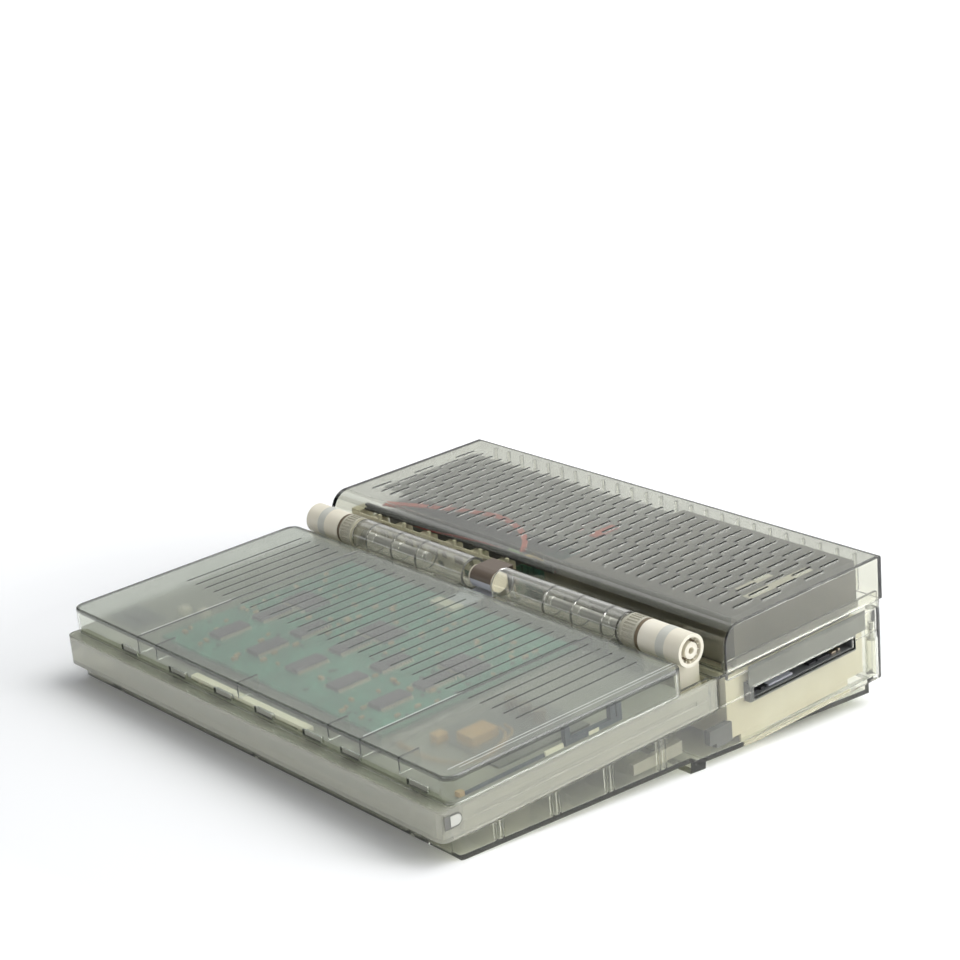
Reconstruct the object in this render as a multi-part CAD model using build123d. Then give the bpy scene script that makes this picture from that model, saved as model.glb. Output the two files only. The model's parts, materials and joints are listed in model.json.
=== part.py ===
"""A luggable computer of the late 1980s in a clear case, closed, standing on a table.

The machine is drawn square to its lid: X across, Y from front to back, Z up, with
the origin at the middle of the lid's top front edge. At the end every piece is
tipped by STAND_TILT, because the case stands on its front pads and on a ridge
under its middle, and it is moved so that the origin is at the middle of the foot
print, on the table. All sizes are in millimetres.
"""
from build123d import *
import math
import os

# ---------------------------------------------------------------- clearances
RUN_GAP = 0.3         # between pieces that slide past each other
SEAT_GAP = 0.3        # under a cover or lid that rests on a rim
SHAFT_GAP = 0.05      # radial, a shaft in its hole
SEAM = 0.5            # the dark line between the lid and the band below it
FIT_GAP = 0.2         # round a piece that drops into its place

# ---------------------------------------------------------------- whole machine
HALF_W = 193.5        # half the width over the sides
STAND_TILT = 6.0      # degrees that the lid slopes up towards the back
SPLIT_Z = -38.0       # where the upper and the lower case meet
CORNER_R = 6.0        # upright corners of the cases, in plan

# ---------------------------------------------------------------- lid
LID_DEPTH = 185.6
LID_H = 17.5
LID_WALL = 2.2
LID_R = 8.0
LID_EDGE_R = 1.4      # round on the lid's top edge
GROOVE_PITCH = 10.4   # long grooves in the lid's top
GROOVE_W = 1.2
GROOVE_DEPTH = 0.8
GROOVE_FRONT = 75.0
GROOVE_BACK = LID_DEPTH - 13.6
GROOVE_REACH = HALF_W - 17.5
LID_RIB_X = 115.0     # the two ribs that run the whole depth of the lid
LID_RIB_T = 1.2
LID_RIB_H = 10.0
LID_TAB_X = (-94.0, -5.0, 85.0, 150.0)
LID_TAB_L = 14.0
LID_TAB_H = 11.0
WINDOW_X = (-126.0, -71.0, -21.5, 21.0, 69.5, 105.5, 166.0)
WINDOW_W = 18.0       # snap windows in the lid's front wall
WINDOW_H = 4.0
WINDOW_Z = -13.0
BEZEL_T = 2.0
LCD_W = 218.0
LCD_D = LID_DEPTH - 36.6
VIEW_W = 212.0        # the picture that the display shows
VIEW_D = LCD_D - 16.0
DISPLAY_Y = LID_DEPTH / 2 + 3.2
LCD_T = 4.2
LCD_FRAME_W = 5.0
LCD_FRAME_H = 6.2
DRIVER_W = 226.0
DRIVER_FRONT = 18.0
DRIVER_BACK = LID_DEPTH - 11.6
BOARD_T = 1.6
DRIVER_TOP = -7.0     # upper face of the display's driver board
STANDOFF_R = 2.4
CHIP_H = 2.6
DRIVER_CHIP = (17.0, 9.0)
CLIP_FRONT = 89.0     # the clip in the lid's right wall
CLIP_L = 45.0
CLIP_T = 3.4
CLIP_PRONGS = (0.0, 36.0, 41.0)
CLIP_PRONG_W = 4.0
CLIP_TOP = -4.0

# ---------------------------------------------------------------- hinge
HINGE_Y = LID_DEPTH + 15.4
HINGE_Z = 2.0
BARREL_R = 11.0
SLEEVE_WALL = 1.7
CAP_OUT = HALF_W - 9.5  # ivory end cap
CAP_IN = CAP_OUT - 35.0
RING_OUT = CAP_IN - 3.0  # knurled ring
RING_IN = RING_OUT - 12.0
KNURLS = 30
KNURL_R = 0.7
SLEEVE_IN = 15.0      # the clear sleeves run from here out to SLEEVE_OUT
SLEEVE_OUT = RING_IN - 3.0
SLEEVE_DISCS = (SLEEVE_OUT - 67.5, SLEEVE_OUT - 41.5, SLEEVE_OUT - 14.5)
DISC_T = 2.0
CAP_R = 10.8
CAP_RECESS_R = 8.4
CAP_RECESS = 5.0
CAP_BOSS_R = 4.4
HINGE_ROD_R = 3.0
ROD_IN = 60.0
BRACKET_IN = CAP_IN + 3.0
BRACKET_OUT = CAP_OUT - 4.0
FLANGE_T = 2.0        # the sleeve's foot on the lid's rear wall
DRUM_R = 6.9          # drum that the display cable turns round
DRUM_HALF = 12.0
CABLE_HALF = 10.0
CABLE_T = 0.6

# ---------------------------------------------------------------- lid catch
LATCH_X = 52.0        # the two hooks
LATCH_BAR = (120.0, 5.0, 2.6)
LATCH_FRONT = 4.6
LATCH_HOOK_W = 3.0
LATCH_TOE = 2.6
LATCH_TRAVEL = 2.5
LATCH_TOE_Z = -24.0
KEEPER_L = 8.0
KEEPER_T = 1.4
KEEPER_TOP = -20.6

# ---------------------------------------------------------------- places from front to back
REAR_FRONT = HINGE_Y + 10.0   # front wall of the rear compartment
COVER_FRONT = HINGE_Y + 19.0
COVER_BACK = COVER_FRONT + 145.6
CASE_FRONT = 2.0
CASE_BACK = COVER_BACK + 1.2

# ---------------------------------------------------------------- handle
HANDLE_REACH = 7.3    # bar's front face, ahead of the lid
HANDLE_WALL = 2.2
HANDLE_BACK = REAR_FRONT
HANDLE_RIB = (20.0, REAR_FRONT - 16.0)
HANDLE_RIB_T = 2.0
HANDLE_RIB_H = 3.0
HANDLE_RIB_Z = -28.5
THUMB_R = 4.4         # D-shaped recess at the bar's ends
THUMB_DEPTH = 1.0
GUIDE_T = 3.7
GUIDE_H = 15.0
GUIDE_FRONT = 10.0
GUIDE_BACK = REAR_FRONT - 6.0

# ---------------------------------------------------------------- cases
CASE_WALL = 2.5
FRONT_BOTTOM = -52.2
FRONT_EDGE_R = 3.0
STEP_Y = REAR_FRONT - 25.0  # where the shallow front half ends
STEP_BOTTOM = -63.9
STEP_RUN = 6.0
STEP_DROP = 3.6
TIER_Y = STEP_Y + 58.7  # the lower tier starts here
TIER_Z = -72.0
TIER_INSET = 4.0
TIER_BACK = CASE_BACK - 11.8
TIER_BOTTOM = -81.7
RIDGE_Y = STEP_Y      # ridge that the machine stands on
RIDGE_W = 13.0
PAD_PROUD = 0.5       # pads stand this far below the case
PAD_T = 2.0
PAD_R = 5.0
PAD_X = HALF_W - 33.5
FRONT_PAD_Y = 11.0
WALL_RIB_T = 1.2
WALL_RIB_DEPTH = 2.5
WALL_RIB_PAIR = 5.0
WALL_RIB_PITCH = 43.0
BOSS_R = 4.5
BOSS_TOP = -40.0
SCREW_R = 1.5
SCREW_HEAD_R = 2.9
SCREW_HEAD_H = 2.0
SCREW_SEAT = -44.0
SCREW_TOP = -33.0
INNER_WALL_X = HALF_W - 6.2  # outer face of the deck's side walls
INNER_WALL_T = 2.0
DECK_Z = -27.0        # upper face of the deck
DECK_T = 2.2
DECK_RIM = -19.0      # top of the walls round the deck
BAY_FRONT = 22.0      # the opening that the keyboard and trackball drop into
BAY_BACK = 126.0
RIM_Z = -17.5         # rim that the rear cover sits on
LIP_T = 2.2
LIP_TOP = -12.0
BOARD_POST_R = 3.0

# ---------------------------------------------------------------- rear cover
COVER_TOP = 12.7
COVER_WALL = 2.3
COVER_NOSE_R = 14.0
COVER_BACK_R = 2.5
VENT_ROWS = 5
VENT_FRONT = COVER_FRONT + 26.0
VENT_ROW_PITCH = 20.0
VENT_L = 17.5
VENT_W = 1.6
VENT_PITCH = 10.4
VENT_REACH = HALF_W - 16.5
COVER_RIB_PITCH = 14.5
COVER_RIB_T = 1.2
COVER_RIB_DEPTH = 3.0

# ---------------------------------------------------------------- keyboard
KEY_UNIT = 19.05
KEY_GAP = 1.0
KEY_H = 8.0
KEY_TAPER = 17.0
KEY_WALL = 1.2
KEY_ROOF = 1.5
KEY_TOP = -19.5
KEYS_FRONT = 27.0
POST_W = 4.0
SWITCH_W = 12.6
SWITCH_H = 5.0
SWITCH_PLATE_T = 2.0
SWITCH_PLATE_Z = -32.8
KEY_ROWS = (
    (1.25, 1.5, 1.0, 6.25, 1.0, 1.0, 1.0, 1.0, 1.0),
    (2.25,) + (1.0,) * 10 + (2.75,),
    (1.75,) + (1.0,) * 11 + (2.25,),
    (1.5,) + (1.0,) * 12 + (1.5,),
    (1.0,) * 13 + (2.0,),
)
NAMED_KEYS = {
    (0, 0): "option_key",
    (0, 1): "command_key",
    (0, 3): "space_bar",
    (1, 0): "shift_key_left",
    (1, 11): "shift_key_right",
    (2, 0): "caps_lock_key",
    (2, 12): "return_key",
    (3, 0): "tab_key",
    (4, 13): "delete_key",
}
FRAME_T = 2.2         # thickness of the two modules' faces
FRAME_LAP = 2.0       # how far they lap over the deck
MODULE_WALL = 1.5

# ---------------------------------------------------------------- trackball
BALL_R = 15.0
BALL_Y = 74.0
BALL_TOP = -18.7
BALL_GAP = 0.3
CUP_R = 18.5
CUP_FLOOR = 1.6
RING_R = 21.0
RING_H = 2.3
ROLLER_R = 2.5
ROLLER_HALF = 12.0
JOURNAL_R = 1.5
EAR_T = 2.5
ENCODER_R = 6.5
ENCODER_T = 1.4
BUTTON_D = 17.0
BUTTON_Y = (40.5, 107.5)
BUTTON_PROUD = 2.2
BUTTON_DEEP = 4.0
BUTTON_TRAVEL = 1.5

# ---------------------------------------------------------------- insides
LOGIC_TOP = -48.0
LOGIC_FRONT = 18.0
LOGIC_BACK = REAR_FRONT - 13.0
LOGIC_CHIPS = (       # count, pitch, from the board's left and front edges, width, depth, height
    (1, 0.0, 110.0, 62.0, 26.0, 26.0, 3.4),
    (1, 0.0, 160.0, 64.0, 22.0, 22.0, 3.0),
    (8, 11.5, 15.0, 22.0, 7.6, 18.0, 3.0),
    (8, 11.5, 15.0, 112.0, 7.6, 18.0, 3.0),
    (4, 17.0, 202.0, 58.0, 13.0, 34.0, 3.6),
    (4, 17.0, 202.0, 132.0, 9.0, 14.0, 3.0),
)
SPEAKER_R = 26.0
SPEAKER_H = 10.0
FRAME_PLATE = 2.0     # sheet of the ivory inner frame
FRAME_FLOOR = -66.0
FRAME_BACK = CASE_BACK - 14.8
FRAME_SIDE = HALF_W - 7.5
FRAME_TOP = -24.0
FLOOR_HOLE_X = (-160.0, -110.0, -60.0, -10.0, 100.0, 150.0)
FLOOR_HOLE = (24.0, 50.0)
FRONT_HOLE_X = (70.0, 110.0, 150.0)
FRONT_HOLE = (28.0, 18.0)
COMBS = 6
COMB_W = 9.0
COMB_D = 8.0
COMB_TOP = 2.0
DRIVE_FRONT = REAR_FRONT + 29.0
DRIVE_L = 137.0       # across the machine
DRIVE_W = 102.0       # a 3.5 inch drive
DRIVE_H = 25.4
DRIVE_SHEET = 2.0     # walls of the disk drive's metal case
DISK_WALL = 7.0       # walls of the hard disk's casting
DISK_HOLLOW = 12.0    # depth of the hollow under it
DIVIDER_T = 2.0
MOUTH_W = 94.0        # the slot that the disk goes in by
MOUTH_H = 7.0
MOUTH_Z = -39.3
MOUTH_DEPTH = 88.0
SLOT_TRIM = 2.5
BATTERY = (122.0, 78.0, 58.0)
BATTERY_FRONT = REAR_FRONT + 53.0
BACKUP = (48.5, 26.5, 17.5)
CARD_FRONT = REAR_FRONT + 33.0
CARD_L = 92.0
CARD_H = 50.0
MEMORY_PLACE = 0.29   # along the room between the battery and the drives
MODEM_PLACE = 0.63
POWER_L = 88.0
POWER_H = 46.0
PORT_L = 204.0
PORT_LOW = -61.0
PORT_HIGH = -46.0
SOCKETS = (14.0, 14.0, 20.0, 34.0, 34.0, 24.0, 14.0)
SOCKET_GAP = 5.0
SOCKET_D = 13.0
SOCKET_RECESS = 3.0
HARNESS_R = 3.0

# ---------------------------------------------------------------- worked out
LID_BOTTOM = -LID_H
BAND_TOP = LID_BOTTOM - SEAM
BAND_BOTTOM = SPLIT_Z + RUN_GAP
ARM_IN = HALF_W - HANDLE_WALL
CASE_IN = HALF_W - CASE_WALL
DECK_IN = INNER_WALL_X - INNER_WALL_T
COVER_BOTTOM = RIM_Z + SEAT_GAP
KEY_BOTTOM = KEY_TOP - KEY_H
BALL_Z = BALL_TOP - BALL_R
FACE_Z = DECK_Z + FRAME_T
BEZEL_TOP = LID_BOTTOM + BEZEL_T
SLEEVE_BORE = BARREL_R - SLEEVE_WALL
LEDGE_BACK = COVER_FRONT + COVER_WALL + LIP_T + RUN_GAP
FRAME_FRONT = LEDGE_BACK + SEAT_GAP
FRAME_FLOOR_TOP = FRAME_FLOOR + FRAME_PLATE
MID_BOSS_Y = LOGIC_BACK + BOSS_R + 1.5
KEYS_LEFT = 1.9 - DECK_IN
KEYS_W = KEY_UNIT * sum(KEY_ROWS[0])
KEYS_D = KEY_UNIT * len(KEY_ROWS)
MODULE_SPLIT = KEYS_LEFT + KEYS_W + 1.65
BALL_X = MODULE_SPLIT + 41.0
BUTTON_W = DECK_IN - MODULE_SPLIT - 27.3
SPEAKER_X = BALL_X
SPEAKER_Y = (BAY_BACK + MID_BOSS_Y) / 2 - 2.0
LOGIC_LEFT = 5.3 - DECK_IN
LOGIC_RIGHT = MODULE_SPLIT - 8.0
BATTERY_LEFT = 1.0 + FRAME_PLATE - FRAME_SIDE
BATTERY_RIGHT = BATTERY_LEFT + BATTERY[0]
DRIVE_RIGHT = FRAME_SIDE - FRAME_PLATE - 1.0
DRIVE_LEFT = DRIVE_RIGHT - DRIVE_L
CARD_ROOM = DRIVE_LEFT - BATTERY_RIGHT
MEMORY_X = BATTERY_RIGHT + MEMORY_PLACE * CARD_ROOM
MODEM_X = BATTERY_RIGHT + MODEM_PLACE * CARD_ROOM
PORT_LEFT = BATTERY_LEFT + 7.0
PORT_RIGHT = PORT_LEFT + PORT_L
COMB_FIRST = BATTERY_LEFT + 33.0
COMB_LAST = DRIVE_LEFT - 61.0
COMB_POST_X = COMB_FIRST - 20.0
POWER_LEFT = BATTERY_LEFT + 57.0
POWER_Y = FRAME_FRONT + FRAME_PLATE + COMB_D + 4.0


# ---------------------------------------------------------------- helpers
def block(x0, x1, y0, y1, z0, z1):
    """A block between two corners."""
    middle = ((x0 + x1) / 2, (y0 + y1) / 2, (z0 + z1) / 2)
    return Pos(*middle) * Box(x1 - x0, y1 - y0, z1 - z0)


def bar_x(x0, x1, y, z, r):
    """A round bar along X."""
    return Pos((x0 + x1) / 2, y, z) * Rot(0, 90, 0) * Cylinder(r, abs(x1 - x0))


def bar_y(x, y0, y1, z, r):
    """A round bar along Y."""
    return Pos(x, (y0 + y1) / 2, z) * Rot(90, 0, 0) * Cylinder(r, abs(y1 - y0))


def bar_z(x, y, z0, z1, r):
    """An upright round bar."""
    return Pos(x, y, (z0 + z1) / 2) * Cylinder(r, abs(z1 - z0))


def rounded(x0, x1, y0, y1, z0, z1, r):
    """A block whose upright corners are rounded."""
    outline = RectangleRounded(x1 - x0, y1 - y0, r)
    return Pos((x0 + x1) / 2, (y0 + y1) / 2, z0) * extrude(outline, z1 - z0)


def across(face, half):
    """A side view, drawn with Y across and Z up, made as wide as the machine needs."""
    return extrude(Plane.YZ * face, half, both=True)


def outline(*points):
    """A face with straight sides through points of a side view."""
    return make_face(Polyline(*points, close=True))


def flipped(shape):
    """The same piece on the left side."""
    return mirror(shape, about=Plane.YZ)


def group(solids):
    """Separate solids kept in one node."""
    return Compound([s for piece in solids for s in piece.solids()])


def spread(reach, pitch):
    """Evenly spaced places from -reach to reach, one of them in the middle."""
    count = int(reach / pitch)
    return [i * pitch for i in range(-count, count + 1)]


def square_to_table(shape):
    """Something drawn square to the table, turned into the lid's directions."""
    return Rot(-STAND_TILT, 0, 0) * shape


def table_y(y, z):
    """Distance along the table of a point given in the lid's directions."""
    t = math.radians(STAND_TILT)
    return y * math.cos(t) - z * math.sin(t)


def table_z(y, z):
    """Height, before the machine is set down, of a point in the lid's directions."""
    t = math.radians(STAND_TILT)
    return y * math.sin(t) + z * math.cos(t)


TABLE = table_z(CASE_FRONT + FRONT_EDGE_R, FRONT_BOTTOM) - PAD_PROUD


# ---------------------------------------------------------------- cases
def bottom_outline(top):
    """Side view of the lower case, from its front edge to the flange at the back."""
    return outline(
        (CASE_FRONT, top),
        (CASE_FRONT, FRONT_BOTTOM + FRONT_EDGE_R),
        (CASE_FRONT + FRONT_EDGE_R, FRONT_BOTTOM),
        (STEP_Y, STEP_BOTTOM),
        (STEP_Y + STEP_RUN, STEP_BOTTOM - STEP_DROP),
        (TIER_Y, TIER_Z),
        (CASE_BACK, TIER_Z),
        (CASE_BACK, top),
    )


def tier_outline():
    """Side view of the tier that hangs below the flange at the back."""
    return outline(
        (TIER_Y - 3 * CASE_WALL, TIER_Z + 3 * CASE_WALL),
        (TIER_Y, TIER_Z),
        (TIER_BACK, TIER_BOTTOM),
        (TIER_BACK, TIER_Z + 3 * CASE_WALL),
    )


def floor_z(y):
    """Outer face of the lower case's floor in its shallow front half."""
    start = CASE_FRONT + FRONT_EDGE_R
    slope = (STEP_BOTTOM - FRONT_BOTTOM) / (STEP_Y - start)
    return FRONT_BOTTOM + slope * (y - start)


def rear_floor_z(y):
    """Outer face of the floor behind the ridge."""
    if y < TIER_Y:
        start_y = STEP_Y + STEP_RUN
        start_z = STEP_BOTTOM - STEP_DROP
        return start_z + (TIER_Z - start_z) * (y - start_y) / (TIER_Y - start_y)
    if y > TIER_BACK:
        return TIER_Z
    return TIER_Z + (TIER_BOTTOM - TIER_Z) * (y - TIER_Y) / (TIER_BACK - TIER_Y)


def any_floor_z(y):
    """Outer face of the floor anywhere along the lower case."""
    return floor_z(y) if y < STEP_Y else rear_floor_z(y)


SCREW_X = INNER_WALL_X - 37.0
SCREW_REAR_X = CASE_IN - BOSS_R
BACK_BOSS_Y = CASE_BACK - CASE_WALL - BOSS_R + 1.0
FRONT_BOSS_Y = CASE_FRONT + CASE_WALL + BOSS_R
SCREWS = [
    (side * x, y)
    for side in (-1, 1)
    for x, y in ((SCREW_X, FRONT_BOSS_Y), (SCREW_X, MID_BOSS_Y), (SCREW_REAR_X, BACK_BOSS_Y))
]
SCREWS += [(0.0, FRONT_BOSS_Y), (DRIVE_LEFT + BOSS_R, BACK_BOSS_Y)]


def boss_top(y):
    """Where a lower and an upper boss meet: at the split behind, below it in front."""
    return BOSS_TOP if y < REAR_FRONT else SPLIT_Z


def lower_boss(x, y):
    """A column with a deep well for a screw that comes in from below."""
    return bar_z(x, y, any_floor_z(y) + CASE_WALL / 2, boss_top(y), BOSS_R)


def screw_well(x, y):
    """The well and the hole above it."""
    head = bar_z(x, y, any_floor_z(y) - 20, SCREW_SEAT, SCREW_HEAD_R + FIT_GAP)
    hole = bar_z(x, y, SCREW_SEAT - 1, boss_top(y) + 1, SCREW_R + SHAFT_GAP)
    return head + hole


def upper_boss(x, y, root):
    """The post of the upper case that the screw bites into."""
    return bar_z(x, y, boss_top(y), root, BOSS_R)


def pilot_hole(x, y):
    """The hole that the screw's thread bites into."""
    return bar_z(x, y, boss_top(y) - 1, SCREW_TOP, SCREW_R + SHAFT_GAP)


def case_screws():
    """All case screws: a flat head in the well and a shank up into the post."""
    made = []
    for x, y in SCREWS:
        head = bar_z(x, y, SCREW_SEAT - SCREW_HEAD_H, SCREW_SEAT, SCREW_HEAD_R)
        shank = bar_z(x, y, SCREW_SEAT, SCREW_TOP - 1, SCREW_R)
        made.append(head + shank)
    return group(made)


def pad_places():
    """Middles of the four pads, along the table."""
    front = table_y(FRONT_PAD_Y, floor_z(FRONT_PAD_Y))
    ridge = table_y(RIDGE_Y, STEP_BOTTOM) + RIDGE_W / 2
    return [(side * PAD_X, y) for side in (-1, 1) for y in (front, ridge)]


def feet():
    """Round rubber pads, flat on the table."""
    pads = [bar_z(x, y, TABLE, TABLE + PAD_T, PAD_R) for x, y in pad_places()]
    return square_to_table(group(pads))


def wall_ribs():
    """Pairs of thin upright ribs inside the lower case's walls."""
    ribs = []
    low = FRONT_BOTTOM + CASE_WALL / 2
    for i in range(4):
        y = 32.0 + WALL_RIB_PITCH * i
        for dy in (0.0, WALL_RIB_PAIR):
            rib = block(
                CASE_IN - WALL_RIB_DEPTH, CASE_IN + 0.5, y + dy, y + dy + WALL_RIB_T,
                floor_z(y) + CASE_WALL / 2, BOSS_TOP - 1,
            )
            ribs += [rib, flipped(rib)]
    inner = CASE_FRONT + CASE_WALL
    for x in spread(SCREW_X + 10, WALL_RIB_PITCH):
        for dx in (0.0, WALL_RIB_PAIR):
            left = x + dx + BOSS_R + 3
            ribs.append(block(left, left + WALL_RIB_T, inner - 0.5, inner + 1.6, low, BOSS_TOP - 1))
    return ribs


def logic_posts():
    """Places of the posts under the main board."""
    xs = (LOGIC_LEFT + 8, (LOGIC_LEFT + LOGIC_RIGHT) / 2, LOGIC_RIGHT - 8)
    return [(x, y) for x in xs for y in (LOGIC_FRONT + 10, LOGIC_BACK - 10)]


def frame_posts():
    """Places of the posts under the inner frame."""
    side = FRAME_SIDE - 36.0
    return [(x, y) for x in (-side, 0.0, side) for y in (FRAME_FRONT + 14, FRAME_BACK - 20)]


def mouth_cut(x0, x1, extra):
    """The disk slot, grown by extra all round, from x0 to x1."""
    middle = DRIVE_FRONT + DRIVE_W / 2
    half = MOUTH_W / 2 + extra
    return block(
        x0, x1, middle - half, middle + half,
        MOUTH_Z - MOUTH_H / 2 - extra, MOUTH_Z + MOUTH_H / 2 + extra,
    )


def bottom_case():
    """The lower case: a clear tub with a shallow front and a deep back."""
    plan = rounded(-HALF_W, HALF_W, CASE_FRONT, CASE_BACK, -120, SPLIT_Z, CORNER_R)
    low_half = HALF_W - TIER_INSET
    outer = across(bottom_outline(SPLIT_Z), HALF_W) & plan
    outer += across(tier_outline(), low_half)
    tall = bottom_outline(SPLIT_Z + 20)
    inner = across(offset(tall, -CASE_WALL, kind=Kind.INTERSECTION), CASE_IN)
    inner &= rounded(
        -CASE_IN, CASE_IN, CASE_FRONT + CASE_WALL, CASE_BACK - CASE_WALL, -120, 0,
        CORNER_R - CASE_WALL,
    )
    deep = offset(tall + tier_outline(), -CASE_WALL, kind=Kind.INTERSECTION)
    inner += across(deep, low_half - CASE_WALL)
    ridge_front = table_y(RIDGE_Y, STEP_BOTTOM)
    ridge = block(
        -HALF_W, HALF_W, ridge_front, ridge_front + RIDGE_W, TABLE + PAD_PROUD,
        table_z(RIDGE_Y, STEP_BOTTOM) + 2.0,
    )
    shell = outer + square_to_table(ridge) - inner
    added = wall_ribs() + [lower_boss(x, y) for x, y in SCREWS]
    for x, y in logic_posts():
        added.append(bar_z(x, y, floor_z(y) + CASE_WALL / 2, LOGIC_TOP - BOARD_T, BOARD_POST_R))
    for x, y in frame_posts():
        added.append(bar_z(x, y, rear_floor_z(y) + CASE_WALL / 2, FRAME_FLOOR, BOARD_POST_R))
    cuts = [screw_well(x, y) for x, y in SCREWS]
    cuts.append(mouth_cut(CASE_IN - 1, HALF_W + 1, 0.5))
    cuts.append(
        block(PORT_LEFT, PORT_RIGHT, CASE_BACK - CASE_WALL - 1, CASE_BACK + 1, PORT_LOW, PORT_HIGH)
    )
    for x, y in pad_places():
        cuts.append(square_to_table(bar_z(x, y, TABLE - 2, TABLE + PAD_T, PAD_R + FIT_GAP)))
    return shell + added - cuts


def upper_case():
    """The upper case: walls and deck round the keyboard, and the rear compartment's rim."""
    plan = rounded(-HALF_W, HALF_W, CASE_FRONT, CASE_BACK, SPLIT_Z, RIM_Z, CORNER_R)
    rear = block(-HALF_W, HALF_W, REAR_FRONT, CASE_BACK, SPLIT_Z, RIM_Z) & plan
    hollow = rounded(
        -CASE_IN, CASE_IN, REAR_FRONT + CASE_WALL, CASE_BACK - CASE_WALL, SPLIT_Z - 1, RIM_Z + 1,
        CORNER_R - CASE_WALL,
    )
    rear -= hollow
    ledge = block(
        -CASE_IN - 1, CASE_IN + 1, REAR_FRONT + 1, LEDGE_BACK, RIM_Z - DECK_T, RIM_Z
    )
    lip_out = CASE_IN - RUN_GAP
    lip_front = COVER_FRONT + COVER_WALL + RUN_GAP
    lip_back = CASE_BACK - CASE_WALL - COVER_WALL + 1.0 - RUN_GAP
    lip = block(lip_out - LIP_T, CASE_IN + 0.5, lip_front, lip_back, RIM_Z - 6, RIM_Z)
    lip += block(lip_out - LIP_T, lip_out, lip_front, lip_back, RIM_Z - 6, LIP_TOP)
    deck = block(-DECK_IN - 1, DECK_IN + 1, CASE_FRONT + 1, REAR_FRONT + 1, DECK_Z - DECK_T, DECK_Z)
    deck -= block(-DECK_IN, DECK_IN, BAY_FRONT, BAY_BACK, DECK_Z - DECK_T - 1, DECK_Z + 1)
    walls = block(-INNER_WALL_X, INNER_WALL_X, CASE_FRONT, REAR_FRONT + 1, BOSS_TOP, DECK_RIM)
    walls -= block(
        -DECK_IN, DECK_IN, CASE_FRONT + INNER_WALL_T, REAR_FRONT, BOSS_TOP - 1, DECK_RIM + 1
    )
    front_cut = CASE_FRONT + CASE_WALL + FIT_GAP
    walls -= block(-HALF_W, HALF_W, CASE_FRONT - 1, front_cut, BOSS_TOP - 1, SPLIT_Z)
    flange = block(
        DECK_IN, CASE_IN - FIT_GAP, front_cut + CORNER_R, REAR_FRONT + CASE_WALL / 2,
        BOSS_TOP, SPLIT_Z,
    )
    body = rear + [ledge, lip, flipped(lip), deck, walls, flange, flipped(flange)]
    for x, y in SCREWS:
        root = DECK_Z - DECK_T / 2 if y < REAR_FRONT else RIM_Z - 6
        body += upper_boss(x, y, root)
    cuts = [pilot_hole(x, y) for x, y in SCREWS]
    cuts.append(mouth_cut(CASE_IN - 6, HALF_W + 1, 0.5))
    cable_hole_back = REAR_FRONT + CASE_WALL + 4.0
    cuts.append(
        block(-DRUM_HALF, DRUM_HALF, REAR_FRONT + CASE_WALL, cable_hole_back, RIM_Z - 4, RIM_Z + 1)
    )
    for i in range(7):
        x = SPEAKER_X + (i - 3) * 6.0
        cuts.append(
            block(x - 1, x + 1, SPEAKER_Y - 15, SPEAKER_Y + 15, DECK_Z - DECK_T - 1, DECK_Z + 1)
        )
    body = body - cuts
    for side in (-1, 1):
        body += keeper(side)
    return body


# ---------------------------------------------------------------- lid catch
def keeper(side):
    """A ledge behind the front wall that a hook's toe slides under."""
    y0 = CASE_FRONT + INNER_WALL_T - 0.5
    y1 = LATCH_FRONT + LATCH_BAR[1] + 1.0
    x0 = side * LATCH_X + LATCH_HOOK_W / 2 + LATCH_TOE + FIT_GAP
    return block(x0, x0 + KEEPER_L, y0, y1, KEEPER_TOP - KEEPER_T, KEEPER_TOP)


def latch_bar():
    """The lid's catch: a bar with two hooks, here slid free of its keepers."""
    length, depth, height = LATCH_BAR
    low = BEZEL_TOP + RUN_GAP
    bar = block(-length / 2, length / 2, LATCH_FRONT, LATCH_FRONT + depth, low, low + height)
    for x in (-LATCH_X, LATCH_X):
        left = x - LATCH_HOOK_W / 2
        right = x + LATCH_HOOK_W / 2
        bar += block(left, right, LATCH_FRONT, LATCH_FRONT + depth, LATCH_TOE_Z, low)
        bar += block(right, right + LATCH_TOE, LATCH_FRONT, LATCH_FRONT + depth,
                     LATCH_TOE_Z, LATCH_TOE_Z + KEEPER_T)
    return bar


# ---------------------------------------------------------------- handle and its guides
def handle():
    """The carrying handle: a hollow bar across the front and two arms along the sides."""
    bar_back = CASE_FRONT - 2 * FIT_GAP
    bar = block(-HALF_W, HALF_W, -HANDLE_REACH, bar_back, BAND_BOTTOM, BAND_TOP)
    arms = block(-HALF_W, HALF_W, bar_back - 1, HANDLE_BACK - RUN_GAP, BAND_BOTTOM, BAND_TOP)
    arms -= block(-ARM_IN, ARM_IN, 0, HANDLE_BACK, BAND_BOTTOM - 1, BAND_TOP + 1)
    bar -= block(
        -ARM_IN, ARM_IN, HANDLE_WALL - HANDLE_REACH, bar_back + 1,
        BAND_BOTTOM + HANDLE_WALL, BAND_TOP - HANDLE_WALL,
    )
    plan = rounded(
        -HALF_W, HALF_W, -HANDLE_REACH, HANDLE_BACK + 20, BAND_BOTTOM, BAND_TOP, CORNER_R
    )
    grip = (bar + arms) & plan
    rib_low = HANDLE_RIB_Z - HANDLE_RIB_H / 2
    rib = block(
        ARM_IN - HANDLE_RIB_T, ARM_IN + 0.5, HANDLE_RIB[0], HANDLE_RIB[1],
        rib_low, rib_low + HANDLE_RIB_H,
    )
    thumb_z = (BAND_TOP + BAND_BOTTOM) / 2 + 2.0
    thumb = bar_x(HALF_W - THUMB_DEPTH, HALF_W + 1, THUMB_R - 1.0, thumb_z, THUMB_R)
    thumb += block(
        HALF_W - THUMB_DEPTH, HALF_W + 1, -THUMB_R, THUMB_R - 1.0,
        thumb_z - THUMB_R, thumb_z + THUMB_R,
    )
    return grip + [rib, flipped(rib)] - [thumb, flipped(thumb)]


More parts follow.
